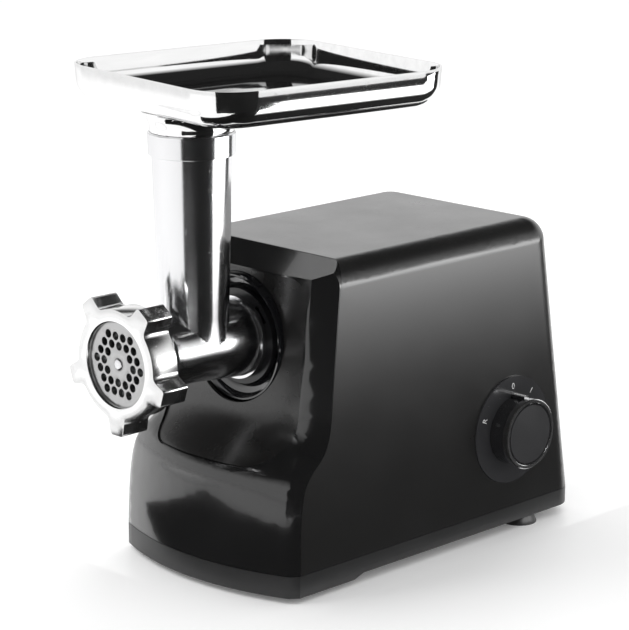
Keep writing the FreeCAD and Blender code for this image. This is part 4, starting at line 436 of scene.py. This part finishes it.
def metal(name, colour, roughness, key, depth, smudge=0.08, worn=0.9, edge=0.0, **values):
    """Bare metal whose skin comes from one of the shared groups; edge paints shade, a dark reflection,
    into the colour of what is seen edge-on.
    """
    material, t, shader, coordinates = start_material(name)
    marks = handled(t, coordinates, Smudge_scale=16.0, Scratch_scale=1100.0)
    skin = placed_group(t, key, coordinates.outputs["Object"], **values)
    second = skin.outputs[1]
    toned = t.colour_mix(t.spread(second, 0.3, 0.7), shade(colour, worn), shade(colour, 1.04))
    # Painted shade: the colour darkens where the face is seen edge-on, standing in for a dark
    # reflection.
    facing = t.add("ShaderNodeLayerWeight", {"Blend": 0.5}).outputs["Facing"]
    colour_with_painted_edge_shade = t.colour_mix(t.spread(facing, 0.72, 0.99, 0.0, edge), toned, shade(colour, 0.12))
    t.join(colour_with_painted_edge_shade, shader.inputs["Base Color"])
    streaked = t.math("MULTIPLY", second, roughness * 0.5)
    rough = t.math("ADD", wear(t, marks, smudge, 0.15), streaked)
    rough = t.math("ADD", rough, roughness * 0.75 - smudge * 0.4)
    t.join(t.math("MAXIMUM", rough, 0.02), shader.inputs["Roughness"])
    raise_skin(t, shader, skin, depth)
    set_inputs(shader, Metallic=1.0)
    return material


def rubber(name, colour):
    """Soft rubber: matt, with a bloom of paler wear."""
    material, t, shader, coordinates = start_material(name)
    place = coordinates.outputs["Object"]
    skin = placed_group(t, "grain", place, Grain_scale=800.0)
    bloom = t.spread(t.noise(place, 120.0, 4.0, 0.6), 0.5, 0.75)
    bloomed = t.colour_mix(bloom, shade(colour, 1.0), shade(colour, 1.9))
    t.join(bloomed, shader.inputs["Base Color"])
    t.join(t.spread(bloom, 0.0, 1.0, 0.38, 0.6), shader.inputs["Roughness"])
    raise_skin(t, shader, skin, 30 * MICRON, 0.5)
    set_inputs(shader, Metallic=0.0)
    return material


# ---------------------------------------------------------------- finishes on the CAD nodes


def soften(node, edge, even):
    """Joins a CAD node's loose triangles in a modifier, rounds its edges and shades it smooth."""
    node.data.polygons.foreach_set("use_smooth", [True] * len(node.data.polygons))
    weld = node.modifiers.new("weld", "WELD")
    weld.merge_threshold = WELD_DISTANCE
    if edge > 0:
        bevel = node.modifiers.new("edges", "BEVEL")
        bevel.width = edge
        bevel.segments = 2
        bevel.limit_method = "ANGLE"
        bevel.angle_limit = SMOOTH_ANGLE
    split = node.modifiers.new("split", "EDGE_SPLIT")
    split.split_angle = SMOOTH_ANGLE
    split.use_edge_sharp = False
    if even:
        evened = node.modifiers.new("normals", "WEIGHTED_NORMAL")
        evened.weight = 75


def dress(material, names, edge=0.0, even=False):
    """Gives a material to CAD nodes; even lets their large faces set the shading."""
    for name in names:
        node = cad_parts[name]
        node.data.materials.clear()
        node.data.materials.append(material)
        soften(node, edge, even)


class GRINDER_OT_plastics(bpy.types.Operator):
    """Finish the housing, front cover, panel, collar, base, dial, knob and button"""

    bl_idname = "grinder.plastics"
    bl_label = "Finish the plastics"

    def execute(self, context):
        look = context.scene.grinder_plastics
        housing = tuple(look.housing)
        bezel = tuple(look.bezel)
        dress(painted("Housing", housing, look.housing_roughness), ["main_housing"], even=True)
        cover = plastic("Front cover", bezel, 0.16, 6 * MICRON, coat=0.6, dust=0.1, smudge=0.05)
        dress(cover, ["front_cover"], even=True)
        dress(painted("Recess panel", housing, 0.27), ["recess_panel"], even=True)
        collar = plastic("Socket collar", (0.006, 0.006, 0.007), 0.08, 3 * MICRON, coat=1.0,
                         dust=0.1, smudge=0.04)
        dress(collar, ["socket_collar"])
        base = plastic("Base", tuple(look.base), 0.36, look.grain_depth, dust=0.5)
        dress(base, ["base_tray"])
        dial = plastic("Dial plate", (0.03, 0.03, 0.032), 0.24, 5 * MICRON, coat=0.2)
        dress(dial, ["dial_plate"])
        dress(plastic("Knob", (0.014, 0.014, 0.015), 0.14, 4 * MICRON, coat=0.6), ["knob"])
        dress(plastic("Knob face", (0.03, 0.03, 0.032), 0.34, 10 * MICRON), ["knob_face"])
        button = plastic("Release button", (0.02, 0.02, 0.021), 0.2, 5 * MICRON, coat=0.3)
        dress(button, ["release_button"])
        return {"FINISHED"}


class GRINDER_OT_metals(bpy.types.Operator):
    """Finish the tray, head, ring nut, plate, knife, feed screw and knob ring"""

    bl_idname = "grinder.metals"
    bl_label = "Finish the metals"

    def execute(self, context):
        look = context.scene.grinder_metals
        low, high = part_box("cutting_plate")
        centre = ((low.x + high.x) / 2, 0.0, (low.z + high.z) / 2)
        # The tray and the head get painted shade, a dark reflection, in their colour where they are
        # seen edge-on.
        tray = metal("Polished tray", tuple(look.tray), look.tray_roughness, "brushing", 2 * MICRON,
                     smudge=0.03, worn=0.97, edge=0.7, Stretch=(1.0, 0.04, 1.0), Line_scale=700.0)
        dress(tray, ["hopper_tray"], 0.3 * MILLIMETRE)
        head = metal("Cast head", tuple(look.cast), look.cast_roughness, "casting", 20 * MICRON,
                     smudge=0.05, worn=0.92, edge=0.5, Lump_scale=150.0)
        dress(head, ["grinder_head"])
        nut = metal("Ring nut", tuple(look.nut), 0.24, "casting", 20 * MICRON,
                    smudge=0.05, worn=0.97, Lump_scale=120.0)
        dress(nut, ["ring_nut"], 0.4 * MILLIMETRE)
        plate = metal("Ground plate", (0.46, 0.46, 0.46), 0.34, "turning", 6 * MICRON,
                      smudge=0.05, Centre=centre)
        dress(plate, ["cutting_plate"], 0.2 * MILLIMETRE)
        knife = metal("Knife steel", (0.52, 0.53, 0.54), 0.28, "brushing", 6 * MICRON,
                      smudge=0.06, worn=0.88, Stretch=(1.0, 0.1, 1.0))
        dress(knife, ["cross_knife"], 0.2 * MILLIMETRE)
        screw = metal("Feed screw", (0.70, 0.70, 0.71), 0.30, "casting", 50 * MICRON,
                      smudge=0.06, Lump_scale=110.0)
        dress(screw, ["auger"])
        bright = metal("Bright ring", (0.92, 0.92, 0.93), 0.12, "brushing", 2 * MICRON,
                       smudge=0.03, worn=0.97, Stretch=(0.05, 1.0, 1.0))
        dress(bright, ["knob_ring"])
        return {"FINISHED"}


class GRINDER_OT_inside(bpy.types.Operator):
    """Finish the gears, motor, switch, screws, feet and the other inner pieces"""

    bl_idname = "grinder.inside"
    bl_label = "Finish the inner pieces"

    def execute(self, context):
        dress(rubber("Foot rubber", (0.012, 0.012, 0.012)), ["rubber_feet", "cord_inlet"])
        self.dress_metals()
        self.dress_plastics()
        return {"FINISHED"}

    def dress_metals(self):
        dress(metal("Gear case", (0.58, 0.59, 0.60), 0.42, "casting", 100 * MICRON,
                    smudge=0.1, worn=0.85),
              ["gearbox_rear", "motor_bracket"])
        dress(metal("Ground steel", (0.56, 0.57, 0.58), 0.22, "brushing", 4 * MICRON,
                    Stretch=(1.0, 0.08, 1.0)),
              ["drive_shaft", "motor_shaft", "gear_axles", "motor_bearings", "plate_key",
               "knob_spindle", "latch_pin"])
        dress(metal("Gear steel", (0.40, 0.40, 0.41), 0.3, "turning", 8 * MICRON,
                    smudge=0.1, worn=0.85, Ring_scale=1800.0),
              ["output_gear", "second_gear", "motor_pinion"])
        dress(metal("Zinc plate", (0.62, 0.62, 0.60), 0.3, "casting", 10 * MICRON,
                    worn=0.85, Lump_scale=400.0),
              ["foot_screws", "housing_screws", "gearbox_screws", "motor_bolts"])
        dress(metal("Bronze", (0.60, 0.42, 0.20), 0.34, "casting", 20 * MICRON,
                    worn=0.85, Lump_scale=600.0),
              ["output_bush_front", "output_bush_rear", "brush_holders"])
        dress(metal("Laminations", (0.26, 0.27, 0.29), 0.42, "brushing", 120 * MICRON,
                    smudge=0.1, worn=0.8, Stretch=(0.02, 1.0, 0.02), Line_scale=1500.0),
              ["stator_core", "rotor_core"])
        dress(metal("Copper wire", (0.62, 0.27, 0.13), 0.32, "brushing", 200 * MICRON,
                    smudge=0.06, worn=0.7, Stretch=(1.0, 0.03, 1.0)),
              ["field_coils", "rotor_windings", "commutator"])

    def dress_plastics(self):
        dress(plastic("Socket casing", (0.008, 0.008, 0.009), 0.3, 30 * MICRON),
              ["gearbox_front"])
        dress(plastic("Nylon gear", (0.72, 0.70, 0.60), 0.4, 10 * MICRON), ["first_gear"])
        dress(plastic("White acetal", (0.78, 0.78, 0.75), 0.34, 6 * MICRON), ["auger_washer"])
        dress(plastic("Fan nylon", (0.10, 0.10, 0.11), 0.42), ["cooling_fan"])
        dress(plastic("Filled nylon", (0.05, 0.05, 0.05), 0.48, 40 * MICRON),
              ["gearbox_stand", "motor_cradle", "latch_guide"])
        dress(plastic("Switch body", (0.72, 0.71, 0.67), 0.4), ["rotary_switch"])
        dress(plastic("Board", (0.03, 0.16, 0.06), 0.3, 30 * MICRON), ["circuit_board"])
        dress(plastic("Carbon", (0.03, 0.03, 0.032), 0.6, 40 * MICRON), ["carbon_brushes"])


# ---------------------------------------------------------------- new pieces


def nothing_selected():
    bpy.ops.object.select_all(action="DESELECT")


def only(piece):
    """Makes a piece the active one, and the only one selected."""
    nothing_selected()
    piece.select_set(True)
    bpy.context.view_layer.objects.active = piece


def settle(piece, material, body):
    """Applies a new piece's place, gives it its material and lets it ride on its body."""
    only(piece)
    bpy.ops.object.transform_apply(location=True, rotation=True, scale=True)
    piece.data.materials.clear()
    piece.data.materials.append(material)
    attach(piece, body)


def knob_axis():
    """Where the knob's axis, which runs along X, stands in Y and Z."""
    low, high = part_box("knob_face")
    return (low.y + high.y) / 2, (low.z + high.z) / 2


def pale_print():
    """Pale grey ink, a little rubbed."""
    material, t, shader, coordinates = start_material("Pale print")
    whole = t.spread(t.noise(coordinates.outputs["Object"], 700.0, 3.0, 0.6), 0.35, 0.55)
    ink = t.colour_mix(whole, (0.42, 0.42, 0.42, 1.0), (0.75, 0.75, 0.75, 1.0))
    t.join(ink, shader.inputs["Base Color"])
    t.join(t.spread(whole, 0.0, 1.0, 0.55, 0.4), shader.inputs["Roughness"])
    return material


class GRINDER_OT_dial_marks(bpy.types.Operator):
    """Print the figures 0 and 1 and the letter R on the dial plate, round the knob"""

    bl_idname = "grinder.dial_marks"
    bl_label = "Print the dial marks"

    def execute(self, context):
        sizes = context.scene.grinder_details
        ink = pale_print()
        middle_y, middle_z = knob_axis()
        face_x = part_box("dial_plate")[1].x
        for text, angle, name in DIAL_FIGURES:
            turn = math.radians(angle)
            y = middle_y + sizes.mark_radius * math.cos(turn)
            z = middle_z + sizes.mark_radius * math.sin(turn)
            nothing_selected()
            bpy.ops.object.text_add(
                location=(face_x - FIGURE_SINK, y, z),
                rotation=(math.radians(90), 0, math.radians(90)))
            mark = bpy.context.object
            mark.name = "dial_mark_" + name
            mark.data.body = text
            mark.data.size = sizes.mark_height
            mark.data.align_x = "CENTER"
            mark.data.align_y = "CENTER"
            mark.data.extrude = FIGURE_RELIEF
            bpy.ops.object.convert(target="MESH")
            bpy.ops.transform.rotate(
                value=math.radians(90 - angle), orient_axis="X", center_override=(face_x, y, z))
            settle(bpy.context.object, ink, "machine")
        return {"FINISHED"}


class GRINDER_OT_pointer(bpy.types.Operator):
    """Fill the pointer line along the knob's nub"""

    bl_idname = "grinder.pointer"
    bl_label = "Fill the pointer line"

    def execute(self, context):
        middle_y, _ = knob_axis()
        low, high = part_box("knob")
        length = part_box("knob_ring")[0].x - low.x
        nothing_selected()
        bpy.ops.mesh.primitive_cube_add(
            size=1, location=(low.x + length / 2, middle_y, high.z + POINTER_RAISE))
        line = bpy.context.object
        line.name = "pointer_line"
        line.dimensions = (length * POINTER_SHARE, POINTER_WIDTH, POINTER_HEIGHT)
        bpy.ops.object.transform_apply(location=False, rotation=False, scale=True)
        bpy.ops.object.mode_set(mode="EDIT")
        bpy.ops.mesh.select_all(action="SELECT")
        bpy.ops.mesh.bevel(offset=POINTER_EDGE, segments=2, affect="EDGES")
        bpy.ops.object.mode_set(mode="OBJECT")
        settle(line, pale_print(), "knob")
        return {"FINISHED"}


class GRINDER_OT_spring(bpy.types.Operator):
    """Wind the release button's return spring in place of its sleeve"""

    bl_idname = "grinder.spring"
    bl_label = "Wind the return spring"

    def execute(self, context):
        wire = context.scene.grinder_details.spring_wire
        low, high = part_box("release_spring")
        middle = (low + high) / 2
        radius = (high.x - low.x) / 2 - wire / 2
        room = high.y - low.y
        nothing_selected()
        bpy.ops.mesh.primitive_circle_add(
            vertices=POINTS_PER_RING, radius=wire / 2,
            location=(middle.x + radius, low.y + wire / 2, middle.z))
        spring = bpy.context.object
        spring.name = "release_coil"
        bpy.ops.object.transform_apply(location=True, rotation=True, scale=True)
        bpy.ops.object.mode_set(mode="EDIT")
        bpy.ops.mesh.select_all(action="SELECT")
        bpy.ops.mesh.spin(
            steps=SPRING_TURNS * RINGS_PER_TURN, angle=math.tau * SPRING_TURNS,
            center=(middle.x, low.y, middle.z), axis=(0, 1, 0))
        bpy.ops.object.mode_set(mode="OBJECT")
        draw_out(spring, room - wire)
        steel = metal("Spring steel", (0.5, 0.5, 0.5), 0.25, "brushing", 3 * MICRON,
                      smudge=0.05, Stretch=(1.0, 0.1, 1.0))
        settle(spring, steel, "machine")
        bpy.ops.object.shade_smooth()
        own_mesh(spring)
        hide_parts("release_spring")
        return {"FINISHED"}


def draw_out(spring, length):
    """Draws a flat wound coil out along Y, by the order in which its rings were wound."""
    last = SPRING_TURNS * RINGS_PER_TURN
    for index, vertex in enumerate(spring.data.vertices):
        ring = min(index // POINTS_PER_RING, last)
        vertex.co.y += length * ring / last


class GRINDER_OT_screw_recess(bpy.types.Operator):
    """Cut cross recesses into the screws under the base, in place of their plain heads"""

    bl_idname = "grinder.screw_recess"
    bl_label = "Cut the screw recesses"

    def execute(self, context):
        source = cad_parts["housing_screws"]
        only(source)
        bpy.ops.object.duplicate()
        screws = bpy.context.object
        screws.name = "cross_screws"
        screws.parent = None
        for modifier in list(screws.modifiers):
            screws.modifiers.remove(modifier)
        bpy.ops.object.mode_set(mode="EDIT")
        bpy.ops.mesh.select_all(action="SELECT")
        bpy.ops.mesh.remove_doubles(threshold=WELD_DISTANCE)
        bpy.ops.object.mode_set(mode="OBJECT")
        cutter = cross_cutter(screws)
        cut = screws.modifiers.new("cross", "BOOLEAN")
        cut.operation = "DIFFERENCE"
        cut.use_self = True
        cut.object = cutter
        only(screws)
        bpy.ops.object.modifier_apply(modifier="cross")
        bpy.data.objects.remove(cutter)
        bpy.ops.object.shade_smooth_by_angle(angle=SCREW_SMOOTH_ANGLE)
        settle(screws, source.data.materials[0], "machine")
        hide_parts("housing_screws")
        return {"FINISHED"}


def cross_cutter(screws):
    """One cross below each screw head, as a single mesh to cut with."""
    low_z = min(v.co.z for v in screws.data.vertices)
    lows = [v.co for v in screws.data.vertices if v.co.z < low_z + 10 * MICRON]
    heads = [[p for p in lows if (p.x > 0) == right and (p.y > 0) == back]
             for right in (True, False) for back in (True, False)]
    nothing_selected()
    bars = []
    for rim in heads:
        centre = sum(rim, Vector()) / len(rim)
        for turn in (0, 90):
            bpy.ops.mesh.primitive_cube_add(
                size=1, location=(centre.x, centre.y, low_z),
                rotation=(0, 0, math.radians(turn + RECESS_TURN)))
            bar = bpy.context.object
            bar.dimensions = RECESS_BAR
            bars.append(bar)
    nothing_selected()
    for bar in bars:
        bar.select_set(True)
    bpy.context.view_layer.objects.active = bars[0]
    bpy.ops.object.transform_apply(location=True, rotation=True, scale=True)
    bpy.ops.object.join()
    return bpy.context.object


# ---------------------------------------------------------------- stage


def area_light(name, place, aim, width, height, watts):
    """A soft light that shows neither to the camera nor in the gloss."""
    data = bpy.data.lights.new(name, "AREA")
    data.shape = "RECTANGLE"
    data.size = width
    data.size_y = height
    data.energy = watts
    light = bpy.data.objects.new(name, data)
    bpy.context.scene.collection.objects.link(light)
    light.location = place
    light.rotation_euler = (Vector(aim) - Vector(place)).to_track_quat("-Z", "Y").to_euler()
    light.visible_camera = False
    light.visible_glossy = False


def gloss_only(name, mesh, material):
    """Puts a mesh on the stage so that only glossy rays meet it."""
    mesh.materials.append(material)
    screen = bpy.data.objects.new(name, mesh)
    bpy.context.scene.collection.objects.link(screen)
    screen.visible_camera = False
    screen.visible_diffuse = False
    screen.visible_shadow = False
    screen.visible_transmission = False


def screen_black():
    """The dull black of every dark screen, made on first use."""
    material = bpy.data.materials.get("Screen black")
    if material is None:
        material = bpy.data.materials.new("Screen black")
        material.use_nodes = True
        set_inputs(material.node_tree.nodes["Principled BSDF"], Base_Color=BLACK, Roughness=1.0)
    return material


def arc_screen(name, start, end, radius, height):
    """An upright black screen on an arc round the object, from one angle to another."""
    points = []
    for i in range(SCREEN_STEPS + 1):
        turn = math.radians(start + (end - start) * i / SCREEN_STEPS)
        x = SCREEN_CENTRE[0] + radius * math.cos(turn)
        y = SCREEN_CENTRE[1] + radius * math.sin(turn)
        points.append((x, y))
    mesh = bpy.data.meshes.new(name)
    vertices = [(x, y, z) for x, y in points for z in (0.0, height)]
    faces = [(2 * i, 2 * i + 2, 2 * i + 3, 2 * i + 1) for i in range(SCREEN_STEPS)]
    mesh.from_pydata(vertices, [], faces)
    gloss_only(name, mesh, screen_black())


def floor_screen(name, low, high):
    """A black sheet just over the floor, from one corner to the other."""
    mesh = bpy.data.meshes.new(name)
    corners = [(low[0], low[1]), (high[0], low[1]), (high[0], high[1]), (low[0], high[1])]
    mesh.from_pydata([(x, y, SHEET_HEIGHT) for x, y in corners], [], [(0, 1, 2, 3)])
    gloss_only(name, mesh, screen_black())


def start_glow(name):
    """A bare material, its tree and its Object coordinates."""
    material = bpy.data.materials.new(name)
    material.use_nodes = True
    material.node_tree.nodes.clear()
    t = Tree(material.node_tree)
    return material, t, t.add("ShaderNodeTexCoord").outputs["Object"]


def finish_glow(t, strength):
    """Lets a bare material shine, and do nothing else."""
    glow = t.add("ShaderNodeEmission", {"Strength": strength})
    out = t.add("ShaderNodeOutputMaterial")
    t.join(glow.outputs[0], out.inputs["Surface"])


def glow_patch(name, centre, radius, level):
    """A round glow just over the floor, which softens towards its rim."""
    mesh = bpy.data.meshes.new(name)
    turns = [math.tau * i / PATCH_SIDES for i in range(PATCH_SIDES)]
    rim = [(centre[0] + radius * math.cos(turn), centre[1] + radius * math.sin(turn), PATCH_HEIGHT)
           for turn in turns]
    mesh.from_pydata(rim, [], [tuple(range(PATCH_SIDES))])
    material, t, place = start_glow(name)
    far = t.length(t.vector_math("SUBTRACT", place, (centre[0], centre[1], PATCH_HEIGHT)))
    finish_glow(t, t.spread(far, radius * PATCH_CORE, radius, level, 1.0))
    gloss_only(name, mesh, material)


def glow_card(name, start, end, height, bright, level):
    """An upright card that glows more with height, up to a short fade at its top."""
    mesh = bpy.data.meshes.new(name)
    low = [Vector(start), Vector(end)]
    high = [corner + Vector((0, 0, height)) for corner in reversed(low)]
    mesh.from_pydata(low + high, [], [(0, 1, 2, 3)])
    material, t, place = start_glow(name)
    z = t.add("ShaderNodeSeparateXYZ", {0: place}).outputs["Z"]
    rise = t.math("POWER", t.spread(z, 0.0, bright), CARD_CURVE)
    faded = t.math("MULTIPLY", rise, t.spread(z, height - CARD_FADE, height, 1.0, 0.05))
    finish_glow(t, t.math("MULTIPLY", faded, level))
    gloss_only(name, mesh, material)


def studio_world():
    """White all round for the camera and for soft light; dark overhead in reflections."""
    world = bpy.data.worlds.new("Studio")
    bpy.context.scene.world = world
    world.use_nodes = True
    world.node_tree.nodes.clear()
    t = Tree(world.node_tree)
    direction = t.add("ShaderNodeTexCoord").outputs["Generated"]
    height = t.add("ShaderNodeSeparateXYZ", {0: direction}).outputs["Z"]
    wall = t.spread(height, 0.30, 0.55, 1.15, 0.02)
    path = t.add("ShaderNodeLightPath")
    plain = t.math("MAXIMUM", path.outputs["Is Camera Ray"], path.outputs["Is Diffuse Ray"])
    level = t.math("MAXIMUM", wall, plain)
    back = t.add("ShaderNodeBackground", {"Color": WHITE, "Strength": level})
    out = t.add("ShaderNodeOutputWorld")
    t.join(back.outputs[0], out.inputs["Surface"])


def floor_material():
    """A pale, slightly mottled sheet with a low sheen."""
    material, t, shader, coordinates = start_material("Pale floor")
    tone = t.spread(t.noise(coordinates.outputs["Object"], 3.0, 2.0), 0.3, 0.7, 0.93, 0.95)
    t.join(tone, shader.inputs["Base Color"])
    set_inputs(shader, Roughness=0.35, Specular_IOR_Level=0.3)
    set_inputs(shader, Emission_Color=WHITE, Emission_Strength=0.1)
    return material


def lay_floor():
    nothing_selected()
    bpy.ops.mesh.primitive_plane_add(size=FLOOR_SIZE, location=(0, 0, 0))
    floor = bpy.context.object
    floor.name = "floor"
    floor.data.materials.append(floor_material())


def hang_screens():
    """Dark screens and glows that show only in the gloss."""
    arc_screen("screen_right", start=-72, end=12, radius=0.62, height=0.9)
    floor_screen("screen_floor_right", (0.097, -0.30), (3.0, 3.0))
    floor_screen("screen_floor_front", (-0.20, -0.40), (0.60, -0.145))
    glow_card("card_side", (0.36, 0.02, 0.0), (0.36, 0.75, 0.0), height=0.26, bright=0.28,
              level=20.0)
    glow_patch("glow_left", (-0.45, -0.52), radius=0.24, level=1.7)
    glow_patch("glow_front", (0.36, -0.62), radius=0.14, level=3.0)


def place_camera(scene):
    look = scene.grinder_stage
    data = bpy.data.cameras.new("camera")
    data.lens = look.lens
    data.sensor_width = 36.0
    data.clip_end = 100.0
    camera = bpy.data.objects.new("camera", data)
    scene.collection.objects.link(camera)
    camera.location = look.camera_place
    camera.rotation_euler = (math.radians(90) - look.camera_drop, 0, look.camera_turn)
    scene.camera = camera


class GRINDER_OT_stage(bpy.types.Operator):
    """Set up the floor, the soft lights, the dark screens and the camera"""

    bl_idname = "grinder.stage"
    bl_label = "Set up the stage"

    def execute(self, context):
        context.scene.view_settings.view_transform = "Standard"
        studio_world()
        lay_floor()
        hang_screens()
        area_light("key", (-0.9, -1.2, 1.5), (0, 0, 0.15), width=0.9, height=0.9, watts=12)
        area_light("rear", (-0.5, 1.2, 0.9), (0, 0, 0.2), width=0.9, height=0.6, watts=6)
        place_camera(context.scene)
        return {"FINISHED"}


class GRINDER_PT_panel(bpy.types.Panel):
    """Lists the grinder's steps and their settings in the sidebar."""

    bl_idname = "GRINDER_PT_panel"
    bl_label = "Meat grinder"
    bl_space_type = "VIEW_3D"
    bl_region_type = "UI"
    bl_category = "Grinder"

    def draw(self, context):
        layout = self.layout
        for name in STEPS:
            layout.operator("grinder." + name)
        for group in GROUPS_OF_SETTINGS:
            column = layout.column(align=True)
            settings = getattr(context.scene, group)
            for key in settings.bl_rna.properties.keys():
                if key not in {"rna_type", "name"}:
                    column.prop(settings, key)


STEPS = (
    "plastics", "metals", "inside", "dial_marks", "pointer", "spring", "screw_recess", "stage",
)
GROUPS_OF_SETTINGS = {
    "grinder_plastics": GrinderPlastics,
    "grinder_metals": GrinderMetals,
    "grinder_details": GrinderDetails,
    "grinder_stage": GrinderStage,
}
CLASSES = (
    GrinderPlastics,
    GrinderMetals,
    GrinderDetails,
    GrinderStage,
    GRINDER_OT_plastics,
    GRINDER_OT_metals,
    GRINDER_OT_inside,
    GRINDER_OT_dial_marks,
    GRINDER_OT_pointer,
    GRINDER_OT_spring,
    GRINDER_OT_screw_recess,
    GRINDER_OT_stage,
    GRINDER_PT_panel,
)


def register():
    for cls in CLASSES:
        bpy.utils.register_class(cls)
    for name, group in GROUPS_OF_SETTINGS.items():
        setattr(bpy.types.Scene, name, PointerProperty(type=group))


def unregister():
    for name in GROUPS_OF_SETTINGS:
        delattr(bpy.types.Scene, name)
    for cls in reversed(CLASSES):
        bpy.utils.unregister_class(cls)


def main():
    register()
    for name in STEPS:
        getattr(bpy.ops.grinder, name)()


if __name__ == "__main__":
    main()
